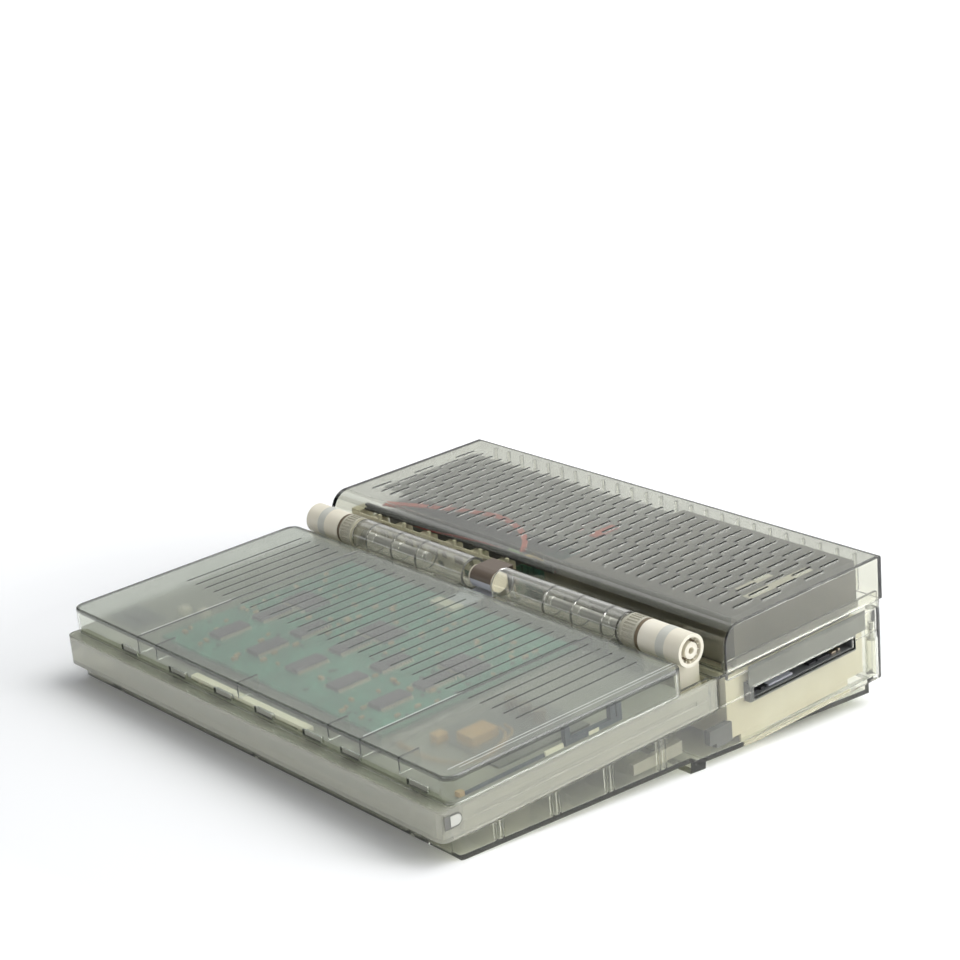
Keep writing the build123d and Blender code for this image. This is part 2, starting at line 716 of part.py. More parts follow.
def handle_guides():
    """Grooved strips on the deck's side walls, which the handle's ribs slide in."""
    low = HANDLE_RIB_Z - GUIDE_H / 2
    strip = block(INNER_WALL_X, INNER_WALL_X + GUIDE_T, GUIDE_FRONT, GUIDE_BACK, low, low + GUIDE_H)
    half = HANDLE_RIB_H / 2 + RUN_GAP
    strip -= block(
        ARM_IN - HANDLE_RIB_T - FIT_GAP, ARM_IN, GUIDE_FRONT - 1, GUIDE_BACK + 1,
        HANDLE_RIB_Z - half, HANDLE_RIB_Z + half,
    )
    return group([strip, flipped(strip)])


# ---------------------------------------------------------------- rear cover
def cover_outline(low):
    """Side view of the rear cover, with its rounded nose over the hinge."""
    face = outline(
        (COVER_FRONT, low), (COVER_FRONT, COVER_TOP), (COVER_BACK, COVER_TOP), (COVER_BACK, low)
    )
    nose = [v for v in face.vertices() if v.X < COVER_FRONT + 1 and v.Y > COVER_TOP - 1]
    face = fillet(nose, COVER_NOSE_R)
    back = [v for v in face.vertices() if v.X > COVER_BACK - 1 and v.Y > COVER_TOP - 1]
    return fillet(back, COVER_BACK_R)


def vents():
    """Staggered rows of slots, long ways front to back."""
    made = []
    for row in range(VENT_ROWS):
        y = VENT_FRONT + VENT_ROW_PITCH * row
        shift = VENT_PITCH / 2 if row % 2 else 0.0
        for x in spread(VENT_REACH, VENT_PITCH):
            left = x + shift - VENT_W / 2
            made.append(
                block(left, left + VENT_W, y, y + VENT_L, COVER_TOP - COVER_WALL - 1, COVER_TOP + 1)
            )
    return made


def rear_cover():
    """The clear cover over the battery and the drives. It lifts straight off its rim."""
    shell = across(cover_outline(COVER_BOTTOM), HALF_W)
    hollow = offset(cover_outline(COVER_BOTTOM - 20), -COVER_WALL, kind=Kind.INTERSECTION)
    shell -= across(hollow, HALF_W - COVER_WALL)
    inner_back = COVER_BACK - COVER_WALL
    ribs = [
        block(
            x, x + COVER_RIB_T, inner_back - COVER_RIB_DEPTH, inner_back + 0.5,
            COVER_BOTTOM + 2, COVER_TOP - COVER_WALL - 2,
        )
        for x in spread(HALF_W - COVER_RIB_PITCH, COVER_RIB_PITCH)
    ]
    return shell + ribs - vents()


# ---------------------------------------------------------------- lid
def lid_shell():
    """The clear lid: a shallow tray, open below, with long grooves in its top."""
    tray = rounded(-HALF_W, HALF_W, 0, LID_DEPTH, LID_BOTTOM, 0, LID_R)
    tray = fillet(tray.faces().sort_by(Axis.Z)[-1].edges(), LID_EDGE_R)
    inner_x = HALF_W - LID_WALL
    inner_back = LID_DEPTH - LID_WALL
    tray -= rounded(
        -inner_x, inner_x, LID_WALL, inner_back, LID_BOTTOM - 1, -LID_WALL, LID_R - LID_WALL
    )
    roof = 0.5 - LID_WALL
    ribs = []
    for x in (-LID_RIB_X, LID_RIB_X):
        left = x - LID_RIB_T / 2
        ribs.append(
            block(left, left + LID_RIB_T, LID_WALL - 0.5, inner_back + 0.5,
                  -LID_WALL - LID_RIB_H, roof)
        )
    for x in LID_TAB_X:
        left = x - LID_RIB_T / 2
        ribs.append(
            block(left, left + LID_RIB_T, LID_WALL - 0.5, LID_WALL + LID_TAB_L, -LID_TAB_H, roof)
        )
    cuts = []
    for x in WINDOW_X:
        cuts.append(
            block(x - WINDOW_W / 2, x + WINDOW_W / 2, -1, LID_WALL + 0.1,
                  WINDOW_Z - WINDOW_H / 2, WINDOW_Z + WINDOW_H / 2)
        )
    for x in spread(GROOVE_REACH, GROOVE_PITCH):
        left = x - GROOVE_W / 2
        cuts.append(block(left, left + GROOVE_W, GROOVE_FRONT, GROOVE_BACK, -GROOVE_DEPTH, 1))
    notch = HINGE_Z - DRUM_R - 3.0
    cuts.append(block(-DRUM_HALF, DRUM_HALF, inner_back - 1, LID_DEPTH + 1, notch - 1.5, notch + 3))
    return tray + ribs - cuts


def lid_bezel():
    """The inner face of the lid, with the display's window and snaps for the front wall."""
    gap = LID_WALL + SEAT_GAP
    plate = rounded(
        gap - HALF_W, HALF_W - gap, gap, LID_DEPTH - gap, LID_BOTTOM, BEZEL_TOP, LID_R - gap
    )
    for x in WINDOW_X:
        half = WINDOW_W / 2 - 1.0
        low = WINDOW_Z - WINDOW_H / 2 + 0.6
        plate += block(x - half, x + half, gap + 0.1, gap + 1.5, BEZEL_TOP - 0.5, low + 2.8)
        plate += block(x - half, x + half, 0.8, gap + 0.5, low, low + 2.8)
    cuts = [
        block(-VIEW_W / 2, VIEW_W / 2, DISPLAY_Y - VIEW_D / 2, DISPLAY_Y + VIEW_D / 2,
              LID_BOTTOM - 1, BEZEL_TOP + 1)
    ]
    for x in (-LATCH_X, LATCH_X):
        left = x - LATCH_HOOK_W / 2 - 1.0
        right = x + LATCH_HOOK_W / 2 + LATCH_TOE + LATCH_TRAVEL + 1.0
        cuts.append(
            block(left, right, LATCH_FRONT - 1, LATCH_FRONT + LATCH_BAR[1] + 1,
                  LID_BOTTOM - 1, BEZEL_TOP + 1)
        )
    return plate - cuts


def lcd_panel():
    """The glass sandwich of the display."""
    return block(
        -LCD_W / 2, LCD_W / 2, DISPLAY_Y - LCD_D / 2, DISPLAY_Y + LCD_D / 2,
        BEZEL_TOP, BEZEL_TOP + LCD_T,
    )


def lcd_frame():
    """The metal tray that holds the glass against the bezel."""
    half_w = LCD_W / 2
    half_d = LCD_D / 2
    tray = block(
        -half_w - LCD_FRAME_W, half_w + LCD_FRAME_W,
        DISPLAY_Y - half_d - LCD_FRAME_W, DISPLAY_Y + half_d + LCD_FRAME_W,
        BEZEL_TOP, BEZEL_TOP + LCD_FRAME_H,
    )
    tray -= block(
        -half_w - FIT_GAP, half_w + FIT_GAP,
        DISPLAY_Y - half_d - FIT_GAP, DISPLAY_Y + half_d + FIT_GAP,
        BEZEL_TOP - 1, BEZEL_TOP + LCD_T + FIT_GAP,
    )
    top = BEZEL_TOP + LCD_FRAME_H
    for x in (-half_w - LCD_FRAME_W / 2, half_w + LCD_FRAME_W / 2):
        for y in (DRIVER_FRONT + STANDOFF_R, DRIVER_BACK - STANDOFF_R):
            tray += bar_z(x, y, top - 1, DRIVER_TOP - BOARD_T, STANDOFF_R)
    return tray


def driver_board():
    """The board behind the display."""
    return block(
        -DRIVER_W / 2, DRIVER_W / 2, DRIVER_FRONT, DRIVER_BACK, DRIVER_TOP - BOARD_T, DRIVER_TOP
    )


def driver_chips():
    """Flat chips in rows on the board behind the display."""
    long, short = DRIVER_CHIP
    made = []
    for y in (DRIVER_FRONT + 18, DRIVER_FRONT + 46):
        for i in range(8):
            x = (i - 3.5) * 27.0
            made.append(
                block(x - short / 2, x + short / 2, y - long / 2, y + long / 2,
                      DRIVER_TOP, DRIVER_TOP + CHIP_H)
            )
    for x in (-80.0, 0.0, 80.0):
        y = DRIVER_FRONT + 92
        made.append(
            block(x - 14, x + 14, y - 10, y + 10, DRIVER_TOP, DRIVER_TOP + CHIP_H)
        )
    return group(made)


def lid_bracket():
    """A dark clip inside the lid's right wall."""
    x1 = HALF_W - LID_WALL - 2 * RUN_GAP
    x0 = x1 - CLIP_T
    clip = block(x0, x1, CLIP_FRONT, CLIP_FRONT + CLIP_L, BEZEL_TOP, BEZEL_TOP + CLIP_T)
    for place in CLIP_PRONGS:
        y = CLIP_FRONT + place
        clip += block(x0, x1, y, y + CLIP_PRONG_W, BEZEL_TOP, CLIP_TOP)
    return clip


# ---------------------------------------------------------------- hinge
def hinge_sleeves():
    """Clear tubes on the lid, each with discs that run on the hinge's rod."""
    tube = bar_x(SLEEVE_IN, SLEEVE_OUT, HINGE_Y, HINGE_Z, BARREL_R)
    foot = block(
        SLEEVE_IN + 4, SLEEVE_OUT - 4, LID_DEPTH, LID_DEPTH + FLANGE_T, LID_BOTTOM + 2.5, -2.5
    )
    web = block(SLEEVE_IN + 4, SLEEVE_OUT - 4, LID_DEPTH + 1, HINGE_Y - BARREL_R + 2.2, -4.5, -2.5)
    sleeve = tube + foot + web
    sleeve -= bar_x(SLEEVE_IN - 1, SLEEVE_OUT + 1, HINGE_Y, HINGE_Z, SLEEVE_BORE)
    for x in SLEEVE_DISCS + (SLEEVE_OUT - DISC_T / 2,):
        sleeve += bar_x(x - DISC_T / 2, x + DISC_T / 2, HINGE_Y, HINGE_Z, SLEEVE_BORE + 0.2)
    sleeve -= bar_x(
        ROD_IN - 1, SLEEVE_OUT + 1, HINGE_Y, HINGE_Z, HINGE_ROD_R + SHAFT_GAP
    )
    return group([sleeve, flipped(sleeve)])


def hinge_rings():
    """Knurled rings between the sleeves and the end caps."""
    neck = BARREL_R - 2.0
    ring = bar_x(RING_IN, RING_OUT, HINGE_Y, HINGE_Z, BARREL_R)
    ring += bar_x(SLEEVE_OUT, CAP_IN - RUN_GAP, HINGE_Y, HINGE_Z, neck)
    grooves = []
    for i in range(KNURLS):
        turn = 2 * math.pi * i / KNURLS
        y = HINGE_Y + BARREL_R * math.cos(turn)
        z = HINGE_Z + BARREL_R * math.sin(turn)
        grooves.append(bar_x(RING_IN + 1.5, RING_OUT - 1.5, y, z, KNURL_R))
    bore = bar_x(SLEEVE_OUT - 1, CAP_IN + 1, HINGE_Y, HINGE_Z, HINGE_ROD_R + SHAFT_GAP)
    ring = ring - grooves - bore
    return group([ring, flipped(ring)])


def hinge_caps():
    """Ivory caps at the ends of the barrel, with a ring-shaped recess round a boss."""
    cap = bar_x(CAP_IN, CAP_OUT, HINGE_Y, HINGE_Z, CAP_R)
    recess = bar_x(CAP_OUT - CAP_RECESS, CAP_OUT + 1, HINGE_Y, HINGE_Z, CAP_RECESS_R)
    recess -= bar_x(CAP_OUT - CAP_RECESS - 1, CAP_OUT + 2, HINGE_Y, HINGE_Z, CAP_BOSS_R)
    rod_hole = bar_x(
        CAP_IN - 1, CAP_OUT - CAP_RECESS - 1.5, HINGE_Y, HINGE_Z, HINGE_ROD_R + SHAFT_GAP
    )
    end_hole = bar_x(CAP_OUT - CAP_RECESS, CAP_OUT + 1, HINGE_Y, HINGE_Z, CAP_BOSS_R / 2)
    cap = cap - recess - rod_hole - end_hole
    return group([cap, flipped(cap)])


def hinge_rods():
    """Steel rods that the lid turns on."""
    rod = bar_x(ROD_IN, CAP_OUT - CAP_RECESS - 1.5 - FIT_GAP, HINGE_Y, HINGE_Z, HINGE_ROD_R)
    return group([rod, flipped(rod)])


def hinge_brackets():
    """Saddles that carry the end caps on the deck."""
    back = REAR_FRONT - FIT_GAP
    saddle = block(BRACKET_IN, BRACKET_OUT, HINGE_Y - 8.0, back, DECK_Z, HINGE_Z - 3.0)
    saddle -= bar_x(BRACKET_IN - 1, BRACKET_OUT + 1, HINGE_Y, HINGE_Z, CAP_R + SHAFT_GAP)
    saddle -= block(
        BRACKET_IN + 4, BRACKET_OUT - 4, HINGE_Y - 9.0, HINGE_Y + 6.0, DECK_Z + 3.0, DECK_Z + 14.0
    )
    return group([saddle, flipped(saddle)])


def cable_drum():
    """The drum that the display's cable turns round, on an arm from the rear wall."""
    drum = bar_x(-DRUM_HALF, DRUM_HALF, HINGE_Y, HINGE_Z, DRUM_R)
    back = REAR_FRONT + CASE_WALL - FIT_GAP
    arm = outline(
        (HINGE_Y + 5, HINGE_Z - 2), (REAR_FRONT, HINGE_Z - 2), (REAR_FRONT, RIM_Z),
        (back, RIM_Z), (back, HINGE_Z + 2), (HINGE_Y + 5, HINGE_Z + 2),
    )
    return drum + across(arm, DRUM_HALF / 2)


def arc_band(inner, start, sweep):
    """A strip of flat cable bent round the hinge, seen from the side."""
    middle = (HINGE_Y, HINGE_Z)
    outer_arc = CenterArc(middle, inner + CABLE_T, start, sweep)
    inner_arc = CenterArc(middle, inner, start, sweep)
    ends = [Line(outer_arc @ 0, inner_arc @ 0), Line(outer_arc @ 1, inner_arc @ 1)]
    return make_face(Curve() + [outer_arc, inner_arc] + ends)


LID_CABLE_R = DRUM_R + 1.1
BASE_CABLE_R = DRUM_R + 0.2


def display_cable():
    """Flat cable from the lid's board, ending in a short turn round the drum."""
    low = HINGE_Z - LID_CABLE_R - CABLE_T
    run = block(-CABLE_HALF, CABLE_HALF, DRIVER_BACK - 6, HINGE_Y, low, low + CABLE_T)
    return run + across(arc_band(LID_CABLE_R, 270, 30), CABLE_HALF)


def board_cable():
    """Flat cable from round the drum, back over the arm and down into the case."""
    top = HINGE_Z + BASE_CABLE_R
    back = REAR_FRONT + CASE_WALL + 0.5
    run = block(-CABLE_HALF, CABLE_HALF, HINGE_Y, back + CABLE_T, top, top + CABLE_T)
    drop = block(-CABLE_HALF, CABLE_HALF, back, back + CABLE_T, SPLIT_Z + 6, top + CABLE_T)
    return run + drop + across(arc_band(BASE_CABLE_R, 90, 140), CABLE_HALF)


# ---------------------------------------------------------------- keyboard
BOARD_LEFT = RUN_GAP - DECK_IN
BOARD_RIGHT = MODULE_SPLIT - FIT_GAP
MODULE_LEFT = MODULE_SPLIT + FIT_GAP
MODULE_RIGHT = DECK_IN - RUN_GAP
SKIRT_FRONT = BAY_FRONT + FIT_GAP
SKIRT_BACK = BAY_BACK - FIT_GAP


def key_places():
    """Row, place in the row, middle and width of every key."""
    places = []
    for row, widths in enumerate(KEY_ROWS):
        x = KEYS_LEFT
        y = KEYS_FRONT + KEY_UNIT * (row + 0.5)
        for i, units in enumerate(widths):
            places.append((row, i, x + KEY_UNIT * units / 2, y, units))
            x += KEY_UNIT * units
    return places


def keycap(units):
    """A hollow keycap with sloping sides and the post that reaches into its switch."""
    width = KEY_UNIT * units - KEY_GAP
    depth = KEY_UNIT - KEY_GAP
    cap = extrude(Rectangle(width, depth), KEY_H, taper=KEY_TAPER)
    inside = Rectangle(width - 2 * KEY_WALL, depth - 2 * KEY_WALL)
    cap -= extrude(inside, KEY_H - KEY_ROOF, taper=KEY_TAPER)
    return cap + block(-POST_W / 2, POST_W / 2, -POST_W / 2, POST_W / 2, -1.3, KEY_H - KEY_ROOF + 0.5)


def keycaps(named):
    """The keycaps that have, or don't have, a node of their own."""
    made = {}
    shapes = {}
    for row, i, x, y, units in key_places():
        name = NAMED_KEYS.get((row, i))
        if (name is not None) != named:
            continue
        if units not in shapes:
            shapes[units] = keycap(units)
        made[name or (row, i)] = Pos(x, y, KEY_BOTTOM) * shapes[units]
    return made


def key_switches():
    """One small switch under each key, with a square well for the key's post."""
    well = POST_W + 2 * RUN_GAP
    switch = block(-SWITCH_W / 2, SWITCH_W / 2, -SWITCH_W / 2, SWITCH_W / 2, 0, SWITCH_H)
    switch -= block(-well / 2, well / 2, -well / 2, well / 2, -1, SWITCH_H + 1)
    return group([Pos(x, y, SWITCH_PLATE_Z) * switch for _, _, x, y, _ in key_places()])


def keyboard_frame():
    """The moulded frame round the keys. It laps over the deck in front and behind."""
    face = block(
        BOARD_LEFT, BOARD_RIGHT, BAY_FRONT - FRAME_LAP, BAY_BACK + FRAME_LAP, DECK_Z, FACE_Z
    )
    skirt = block(BOARD_LEFT, BOARD_RIGHT, SKIRT_FRONT, SKIRT_BACK, SWITCH_PLATE_Z, DECK_Z + 0.5)
    room = 0.5
    opening = block(
        KEYS_LEFT - room, KEYS_LEFT + KEYS_W + room, KEYS_FRONT - room, KEYS_FRONT + KEYS_D + room,
        SWITCH_PLATE_Z - 1, FACE_Z + 1,
    )
    return face + skirt - opening


def switch_plate():
    """The steel plate that the switches stand on."""
    return block(
        BOARD_LEFT, BOARD_RIGHT, SKIRT_FRONT, SKIRT_BACK,
        SWITCH_PLATE_Z - SWITCH_PLATE_T, SWITCH_PLATE_Z,
    )


def keyboard_board():
    """The keyboard's circuit board, under its plate."""
    top = SWITCH_PLATE_Z - SWITCH_PLATE_T
    return block(
        BOARD_LEFT + 2, BOARD_RIGHT - 2, SKIRT_FRONT + 2, SKIRT_BACK - 2, top - BOARD_T, top
    )


# ---------------------------------------------------------------- trackball
ROLLER_REACH = BALL_R + BALL_GAP + ROLLER_R
JOURNAL_HALF = ROLLER_HALF + RUN_GAP + EAR_T


def ear(along):
    """A small plate that carries one end of a roller, for an axis along X."""
    low = BALL_Z - JOURNAL_R - 2.5
    return block(along, along + EAR_T, -4.0, 4.0, low, DECK_Z + 0.5)


def trackball_housing():
    """The trackball's frame: a face with two windows over a cup and four bearing ears."""
    face = block(
        MODULE_LEFT, MODULE_RIGHT, BAY_FRONT - FRAME_LAP, BAY_BACK + FRAME_LAP, DECK_Z, FACE_Z
    )
    skirt_low = SWITCH_PLATE_Z - SWITCH_PLATE_T
    skirt = block(MODULE_LEFT, MODULE_RIGHT, SKIRT_FRONT, SKIRT_BACK, skirt_low, DECK_Z + 0.5)
    skirt -= block(
        MODULE_LEFT + MODULE_WALL, MODULE_RIGHT - MODULE_WALL,
        SKIRT_FRONT + MODULE_WALL, SKIRT_BACK - MODULE_WALL, skirt_low - 1, DECK_Z,
    )
    cup_low = BALL_Z - BALL_R - BALL_GAP - CUP_FLOOR
    body = face + skirt + bar_z(BALL_X, BALL_Y, cup_low, DECK_Z + 0.5, CUP_R)
    ears = [ear(ROLLER_HALF + RUN_GAP), ear(-JOURNAL_HALF)]
    for piece in ears:
        body += Pos(BALL_X, BALL_Y + ROLLER_REACH, 0) * piece
        body += Pos(BALL_X - ROLLER_REACH, BALL_Y, 0) * Rot(0, 0, 90) * piece
    stop_top = FACE_Z + BUTTON_PROUD - BUTTON_DEEP - BUTTON_PROUD - BUTTON_TRAVEL - FIT_GAP
    for y in BUTTON_Y:
        body += block(
            MODULE_LEFT + 0.5, MODULE_RIGHT - 0.5, y - 2, y + 2, skirt_low, stop_top
        )
    hole = JOURNAL_R + SHAFT_GAP
    room = ROLLER_R + 2 * RUN_GAP
    cuts = [
        Pos(BALL_X, BALL_Y, BALL_Z) * Sphere(BALL_R + BALL_GAP),
        bar_z(BALL_X, BALL_Y, BALL_Z, FACE_Z + 1, BALL_R + BALL_GAP),
        bar_x(BALL_X - JOURNAL_HALF - 1, BALL_X + JOURNAL_HALF + 1,
              BALL_Y + ROLLER_REACH, BALL_Z, hole),
        bar_y(BALL_X - ROLLER_REACH, BALL_Y - JOURNAL_HALF - 1, BALL_Y + JOURNAL_HALF + 1,
              BALL_Z, hole),
        bar_x(BALL_X - ROLLER_HALF - RUN_GAP, BALL_X + ROLLER_HALF + RUN_GAP,
              BALL_Y + ROLLER_REACH, BALL_Z, room),
        bar_y(BALL_X - ROLLER_REACH, BALL_Y - ROLLER_HALF - RUN_GAP,
              BALL_Y + ROLLER_HALF + RUN_GAP, BALL_Z, room),
    ]
    for y in BUTTON_Y:
        half_w = BUTTON_W / 2 + RUN_GAP
        half_d = BUTTON_D / 2 + RUN_GAP
        cuts.append(
            block(BALL_X - half_w, BALL_X + half_w, y - half_d, y + half_d, DECK_Z - 1, FACE_Z + 1)
        )
    return body - cuts


def trackball_ring():
    """The ring that keeps the ball in. Its hole is narrower than the ball."""
    ring = bar_z(BALL_X, BALL_Y, FACE_Z, FACE_Z + RING_H, RING_R)
    ring = chamfer(ring.edges().sort_by(Axis.Z)[-1], 0.8)
    return ring - Pos(BALL_X, BALL_Y, BALL_Z) * Sphere(BALL_R + 1.5 * BALL_GAP)


def trackball():
    """The ball."""
    return Pos(BALL_X, BALL_Y, BALL_Z) * Sphere(BALL_R)


def roller():
    """A roller along X with its journals and its slotted encoder disc."""
    shaft = bar_x(-ROLLER_HALF, ROLLER_HALF, 0, 0, ROLLER_R)
    end = JOURNAL_HALF + RUN_GAP
    shaft += bar_x(-JOURNAL_HALF, end + ENCODER_T, 0, 0, JOURNAL_R)
    disc = bar_x(end, end + ENCODER_T, 0, 0, ENCODER_R)
    slots = []
    for i in range(12):
        slot = block(end - 1, end + ENCODER_T + 1, -0.5, 0.5, ENCODER_R - 2.2, ENCODER_R - 0.8)
        slots.append(Rot(30.0 * i, 0, 0) * slot)
    return shaft + (disc - slots)


def encoder_roller_front():
    """The roller behind the ball, which reads strokes towards the user."""
    return Pos(BALL_X, BALL_Y + ROLLER_REACH, BALL_Z) * roller()


def encoder_roller_side():
    """The roller at the ball's left, which reads strokes across."""
    return Pos(BALL_X - ROLLER_REACH, BALL_Y, BALL_Z) * Rot(0, 0, -90) * roller()


def trackball_button(y):
    """A wide button, hollowed towards the ball."""
    top = FACE_Z + BUTTON_PROUD
    low = FACE_Z - BUTTON_DEEP
    button = block(
        BALL_X - BUTTON_W / 2, BALL_X + BUTTON_W / 2, y - BUTTON_D / 2, y + BUTTON_D / 2, low, top
    )
    return button - bar_z(BALL_X, BALL_Y, FACE_Z - 0.01, top + 1, RING_R + 6.0)


# ---------------------------------------------------------------- insides
def logic_board():
    """The main board, under the keyboard."""
    return block(LOGIC_LEFT, LOGIC_RIGHT, LOGIC_FRONT, LOGIC_BACK, LOGIC_TOP - BOARD_T, LOGIC_TOP)


def logic_chips():
    """The main board's chips."""
    made = []
    for count, pitch, across_by, back_by, width, depth, height in LOGIC_CHIPS:
        for i in range(count):
            x = LOGIC_LEFT + across_by + pitch * i
            y = LOGIC_FRONT + back_by
            made.append(block(x, x + width, y, y + depth, LOGIC_TOP, LOGIC_TOP + height))
    return group(made)


def speaker():
    """A small round loudspeaker under the slots in the deck."""
    top = DECK_Z - DECK_T
    basket = bar_z(SPEAKER_X, SPEAKER_Y, top - SPEAKER_H * 0.4, top, SPEAKER_R)
    return basket + bar_z(SPEAKER_X, SPEAKER_Y, top - SPEAKER_H, top, SPEAKER_R * 0.55)


def inner_frame():
    """The ivory frame that carries the drives, the battery and the harness."""
    t = FRAME_PLATE
    frame = block(-FRAME_SIDE, FRAME_SIDE, FRAME_FRONT, FRAME_BACK, FRAME_FLOOR, FRAME_FLOOR_TOP)
    frame += block(
        -FRAME_SIDE, FRAME_SIDE, FRAME_FRONT, FRAME_FRONT + t, FRAME_FLOOR, FRAME_TOP
    )
    for x in (-FRAME_SIDE, FRAME_SIDE - t):
        frame += block(x, x + t, DRIVE_FRONT - 4, FRAME_BACK, FRAME_FLOOR, FRAME_TOP)
    bay_left = DRIVE_LEFT - DIVIDER_T - 2.0
    bay_back = DRIVE_FRONT + DRIVE_W + 4.0
    low_shelf = MOUTH_Z - DRIVE_H / 2
    frame += block(
        bay_left, bay_left + DIVIDER_T, DRIVE_FRONT - 4, bay_back, FRAME_FLOOR, FRAME_TOP
    )
    for top in (low_shelf, FRAME_TOP):
        frame += block(bay_left, FRAME_SIDE, DRIVE_FRONT - 4, bay_back, top - t, top)
    for i in range(COMBS):
        x = COMB_FIRST + (COMB_LAST - COMB_FIRST) * i / (COMBS - 1)
        frame += block(
            x - COMB_W / 2, x + COMB_W / 2, FRAME_FRONT, FRAME_FRONT + t + COMB_D,
            FRAME_TOP - 10, COMB_TOP,
        )
    frame += block(
        COMB_POST_X - COMB_W / 2, COMB_POST_X + COMB_W / 2,
        FRAME_FRONT, FRAME_FRONT + t + COMB_D + 2, FRAME_TOP - 10, COMB_TOP + 2,
    )
    cuts = [mouth_cut(FRAME_SIDE - t - 1, FRAME_SIDE + 1, SLOT_TRIM + 0.5)]
    width, depth = FLOOR_HOLE
    y = DRIVE_FRONT + 30.0
    for x in FLOOR_HOLE_X:
        cuts.append(
            block(x - width / 2, x + width / 2, y, y + depth, FRAME_FLOOR - 1, FRAME_FLOOR_TOP + 1)
        )
    width, height = FRONT_HOLE
    high = FRAME_TOP - 8.0
    for x in FRONT_HOLE_X:
        cuts.append(
            block(x - width / 2, x + width / 2, FRAME_FRONT - 1, FRAME_FRONT + t + 1,
                  high - height, high)
        )
    return frame - cuts


def floppy_drive():
    """The disk drive: a metal case, open above and below, round the slot's inner box."""
    low = MOUTH_Z - DRIVE_H / 2
    back = DRIVE_FRONT + DRIVE_W
    case = block(DRIVE_LEFT, DRIVE_RIGHT, DRIVE_FRONT, back, low, low + DRIVE_H)
    case -= mouth_cut(DRIVE_RIGHT - MOUTH_DEPTH, DRIVE_RIGHT + 1, 0)
    skin = MOUTH_H / 2 + DRIVE_SHEET
    for z0, z1 in ((low - 1, MOUTH_Z - skin), (MOUTH_Z + skin, low + DRIVE_H + 1)):
        case -= block(
            DRIVE_LEFT + DRIVE_SHEET, DRIVE_RIGHT - DRIVE_SHEET,
            DRIVE_FRONT + DRIVE_SHEET, back - DRIVE_SHEET, z0, z1,
        )
    return case


def floppy_bezel():
    """The dark frame between the drive's slot and the slot in the case."""
    right = CASE_IN - FIT_GAP
    return mouth_cut(DRIVE_RIGHT, right, SLOT_TRIM) - mouth_cut(DRIVE_RIGHT - 1, right + 1, 0)


def hard_disk():
    """The hard disk: a casting, hollow below, on the shelf over the disk drive."""
    case = block(
        DRIVE_LEFT, DRIVE_RIGHT, DRIVE_FRONT, DRIVE_FRONT + DRIVE_W,
        FRAME_TOP, FRAME_TOP + DRIVE_H - 4.0,
    )
    lid = block(
        DRIVE_LEFT + 5, DRIVE_RIGHT - 5, DRIVE_FRONT + 5, DRIVE_FRONT + DRIVE_W - 5,
        FRAME_TOP + DRIVE_H - 4.5, FRAME_TOP + DRIVE_H,
    )
    hollow = block(
        DRIVE_LEFT + DISK_WALL, DRIVE_RIGHT - DISK_WALL,
        DRIVE_FRONT + DISK_WALL, DRIVE_FRONT + DRIVE_W - DISK_WALL,
        FRAME_TOP - 1, FRAME_TOP + DISK_HOLLOW,
    )
    return case + lid - hollow


def battery():
    """The battery pack, with two raised contacts."""
    width, depth, height = BATTERY
    top = FRAME_FLOOR_TOP + height
    pack = block(
        BATTERY_LEFT, BATTERY_RIGHT, BATTERY_FRONT, BATTERY_FRONT + depth, FRAME_FLOOR_TOP, top - 2
    )
    for x in (0.2, 0.8):
        middle = BATTERY_LEFT + width * x
        pack += block(
            middle - 5, middle + 5, BATTERY_FRONT + 4, BATTERY_FRONT + 14, top - 3, top
        )
    return pack


def backup_battery():
    """The small battery that keeps the memory while the pack is changed."""
    length, depth, height = BACKUP
    y = BATTERY_FRONT - depth - 1.0
    cell = block(
        BATTERY_LEFT, BATTERY_LEFT + length, y, y + depth, FRAME_FLOOR_TOP, FRAME_FLOOR_TOP + height
    )
    for dy in (depth * 0.28, depth * 0.72):
        cell += bar_x(BATTERY_LEFT + length - 1, BATTERY_LEFT + length + 2, y + dy,
                      FRAME_FLOOR_TOP + height / 2, 3.2)
    return cell


def power_board():
    """The power supply's board, standing behind the comb."""
    return block(
        POWER_LEFT, POWER_LEFT + POWER_L, POWER_Y, POWER_Y + BOARD_T,
        FRAME_FLOOR_TOP, FRAME_FLOOR_TOP + POWER_H,
    )


def power_parts():
    """The power supply's transformer, capacitors, coil and heat sink."""
    face = POWER_Y + BOARD_T
    left = POWER_LEFT
    low = FRAME_FLOOR_TOP
    made = [block(left + 6, left + 30, face, face + 18, low + 6, low + 30)]
    for i in range(3):
        made.append(bar_y(left + 40 + 13 * i, face, face + 17, low + 36, 5.0))
    coil = bar_y(left + 46, face, face + 8, low + 14, 9.0)
    made.append(coil - bar_y(left + 46, face - 1, face + 9, low + 14, 4.0))
    made.append(block(left + 62, left + 82, face, face + 6, low + 8, low + 24))
    return group(made)


def card(x, chips):
    """An upright plug-in card with its chips on one side."""
    low = FRAME_FLOOR_TOP
    board = block(x, x + BOARD_T, CARD_FRONT, CARD_FRONT + CARD_L, low, low + CARD_H)
    for i in range(chips):
        y = CARD_FRONT + 6 + i * (CARD_L - 8) / chips
        board += block(x + BOARD_T - 0.5, x + BOARD_T + 2.6, y, y + 7, low + 14, low + 32)
    return board


COMB_Y = FRAME_FRONT + FRAME_PLATE + COMB_D / 2 + 1
HARNESS = (
    (COMB_POST_X + COMB_W / 2, COMB_Y, COMB_TOP + HARNESS_R),
    (DRIVE_LEFT - 22.0, COMB_Y, COMB_TOP + HARNESS_R),
    (DRIVE_LEFT - 22.0, DRIVE_FRONT + 22.0, -10.0),
    (DRIVE_LEFT, DRIVE_FRONT + 22.0, -10.0),
)


